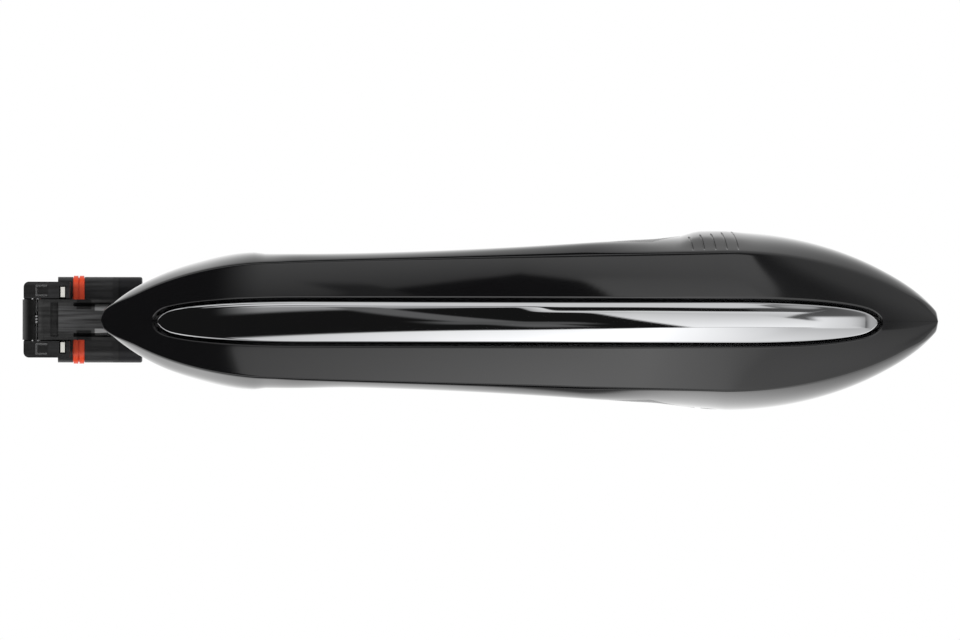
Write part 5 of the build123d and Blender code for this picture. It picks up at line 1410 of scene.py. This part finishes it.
@dataclass(frozen=True)
class Surroundings:
    """The lit and dark parts of the studio all round the handle, as its gloss sees them.

    Attributes:
        distance: Distance from the handle, in metres.
        columns: Steps of the grid round the handle.
        rows: Steps of the grid from below to above.
        dark: Brightness where there is no panel.
        side: Bearing past which the set behind the handle begins.
        above_loss: How much darker that set is high up than level with the handle.
        below_gain: How much brighter it is low down.
        ramp: Lifts between which those two set in.
        under_loss: How much darker it is straight below.
        under_ramp: Degrees below the handle between which that sets in.
    """

    distance: float = 2.2
    columns: int = 480
    rows: int = 240
    dark: float = 0.008
    side: float = 90.0
    above_loss: float = 0.45
    below_gain: float = 0.08
    ramp: tuple[float, float] = (12.0, 50.0)
    under_loss: float = 0.80
    under_ramp: tuple[float, float] = (54.0, 72.0)

    def brightness(self, bearing: float, lift: float) -> float:
        """How bright the surroundings are in a direction seen from the handle.

        Args:
            bearing: Degrees to the right of the camera.
            lift: Degrees above it.

        Returns:
            The brightness; 1 is white.
        """
        if abs(bearing) > self.side:
            above, below = smooth_step(lift, *self.ramp), smooth_step(-lift, *self.ramp)
            under = smooth_step(-lift, *self.under_ramp)
            return 1 - self.above_loss * above + self.below_gain * below - self.under_loss * under
        level = self.dark
        for panel in PANELS:
            level += (panel.level(bearing, lift) - level) * panel.share(bearing, lift)
        return level


@dataclass(frozen=True)
class Lens:
    """Where the camera stands and how much it takes in.

    Attributes:
        aim: Point that it looks at, in millimetres from the pin.
        distance: Distance from that point, in metres.
        frame_width: Width of the frame at that point, in millimetres.
        roll: Roll of the camera, in degrees.
        sensor: Width of its sensor, in millimetres.
        nearest: Nearest distance that it sees, in metres.
        farthest: Farthest distance that it sees.
    """

    aim: tuple[float, float, float] = (113.8416, -30.0, 0.14)
    distance: float = 7.5
    frame_width: float = 245.472
    roll: float = -0.12
    sensor: float = 36.0
    nearest: float = 0.05
    farthest: float = 50.0


@dataclass(frozen=True)
class Floor:
    """The pale floor.

    Attributes:
        half_width: Half its width, in metres.
        height: Its height in the model's frame, in metres.
        shade: Its grey, linear.
        roughness: Its roughness.
        glow: Strength of its own light.
    """

    half_width: float = 6.0
    height: float = -0.16
    shade: float = 0.9
    roughness: float = 0.9
    glow: float = 0.18


class Studio:
    """Pale floor, white surroundings, what the gloss reflects, and the camera."""

    FLOOR = Floor()
    SURROUNDINGS = Surroundings()
    LENS = Lens()

    def build(self) -> None:
        """Adds the whole set."""
        self.world()
        self.floor()
        self.surround()
        self.camera()

    @staticmethod
    def link(name: str, finish: str, mesh: bmesh.types.BMesh) -> bpy.types.Object:
        """Makes an object from a mesh, with a new material.

        Args:
            name: Name of the object.
            finish: Name of its material.
            mesh: The mesh; it is freed.

        Returns:
            The object.
        """
        data = bpy.data.meshes.new(name)
        mesh.to_mesh(data)
        mesh.free()
        made = bpy.data.objects.new(name, data)
        bpy.context.scene.collection.objects.link(made)
        material = bpy.data.materials.new(finish)
        material.use_nodes = True
        data.materials.append(material)
        return made

    @staticmethod
    def world() -> None:
        """Adds even white light from all round."""
        world = bpy.data.worlds.new("white_surroundings")
        bpy.context.scene.world = world
        world.use_nodes = True
        background = world.node_tree.nodes["Background"]
        background.inputs["Color"].default_value = (1, 1, 1, 1)
        background.inputs["Strength"].default_value = 1.0

    def floor(self) -> None:
        """Adds a wide white floor below the handle."""
        mesh = bmesh.new()
        bmesh.ops.create_grid(mesh, x_segments=1, y_segments=1, size=self.FLOOR.half_width)
        floor = self.link("floor", "pale_floor", mesh)
        floor.location = (0, 0, self.FLOOR.height)
        shade = self.FLOOR.shade
        shader = floor.data.materials[0].node_tree.nodes["Principled BSDF"]
        shader.inputs["Base Color"].default_value = (shade, shade, shade, 1)
        shader.inputs["Roughness"].default_value = self.FLOOR.roughness
        shader.inputs["Emission Color"].default_value = (1, 1, 1, 1)
        shader.inputs["Emission Strength"].default_value = self.FLOOR.glow
        floor.visible_glossy = False

    def surround(self) -> None:
        """Adds the surroundings, a glowing sphere that only the handle's gloss sees."""
        mesh = bmesh.new()
        glow = mesh.verts.layers.float.new("glow")
        columns, rows = self.SURROUNDINGS.columns, self.SURROUNDINGS.rows
        grid = bmesh.ops.create_grid(mesh, x_segments=columns, y_segments=rows, size=0.5)
        centre = place(GRIP.middle, self.LENS.aim[1], 0)
        for vertex in grid["verts"]:
            bearing, lift = 360.0 * vertex.co.x, 180.0 * vertex.co.y
            vertex[glow] = self.SURROUNDINGS.brightness(bearing, lift)
            turn, up = math.radians(bearing), math.radians(lift)
            out = Vector((math.sin(turn) * math.cos(up), -math.cos(turn) * math.cos(up), math.sin(up)))
            vertex.co = centre + out * self.SURROUNDINGS.distance
        surround = self.link("surround", "surround", mesh)
        material = surround.data.materials[0]
        tree = material.node_tree
        tree.nodes.clear()
        output = tree.nodes.new("ShaderNodeOutputMaterial")
        emission = tree.nodes.new("ShaderNodeEmission")
        attribute = tree.nodes.new("ShaderNodeAttribute")
        attribute.attribute_name = "glow"
        tree.links.new(attribute.outputs["Fac"], emission.inputs["Strength"])
        tree.links.new(emission.outputs["Emission"], output.inputs["Surface"])
        material.cycles.emission_sampling = "NONE"
        surround.visible_camera = False
        surround.visible_diffuse = False
        surround.visible_shadow = False
        surround.visible_transmission = False
        surround.visible_volume_scatter = False

    def camera(self) -> None:
        """Adds a long lens, square on to the handle."""
        data = bpy.data.cameras.new("camera")
        camera = bpy.data.objects.new("camera", data)
        bpy.context.scene.collection.objects.link(camera)
        bpy.context.scene.camera = camera
        camera.location = place(*self.LENS.aim) + Vector((0, -self.LENS.distance, 0))
        camera.rotation_euler = (math.radians(90), math.radians(self.LENS.roll), 0)
        data.sensor_width = self.LENS.sensor
        data.lens = self.LENS.sensor * self.LENS.distance / (self.LENS.frame_width * MM)
        data.clip_start, data.clip_end = self.LENS.nearest, self.LENS.farthest


class HandleModel:
    """The whole handle: painted CAD nodes and the shaped pieces."""

    SHAPED = (OuterShell, TrimStrip)

    def __init__(self, frame: dict) -> None:
        """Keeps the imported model's frame, and opens a finish shop."""
        self.frame = frame
        self.shop = FinishShop()

    def build(self) -> None:
        """Paints every node, then adds the shaped pieces."""
        for node, finish in NODE_FINISH.items():
            obj = self.frame["nodes"].get(node)
            if obj is None:
                log.warning("no node named %s", node)
                continue
            obj.data.materials.clear()
            obj.data.materials.append(self.shop.get(finish))
        for kind in self.SHAPED:
            kind(self.shop).add()


def main() -> None:
    """Builds the scene."""
    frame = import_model()
    view = bpy.context.scene.view_settings
    view.view_transform = "Standard"
    HandleModel(frame).build()
    Studio().build()
    bpy.context.view_layer.update()


if __name__ == "__main__":
    main()
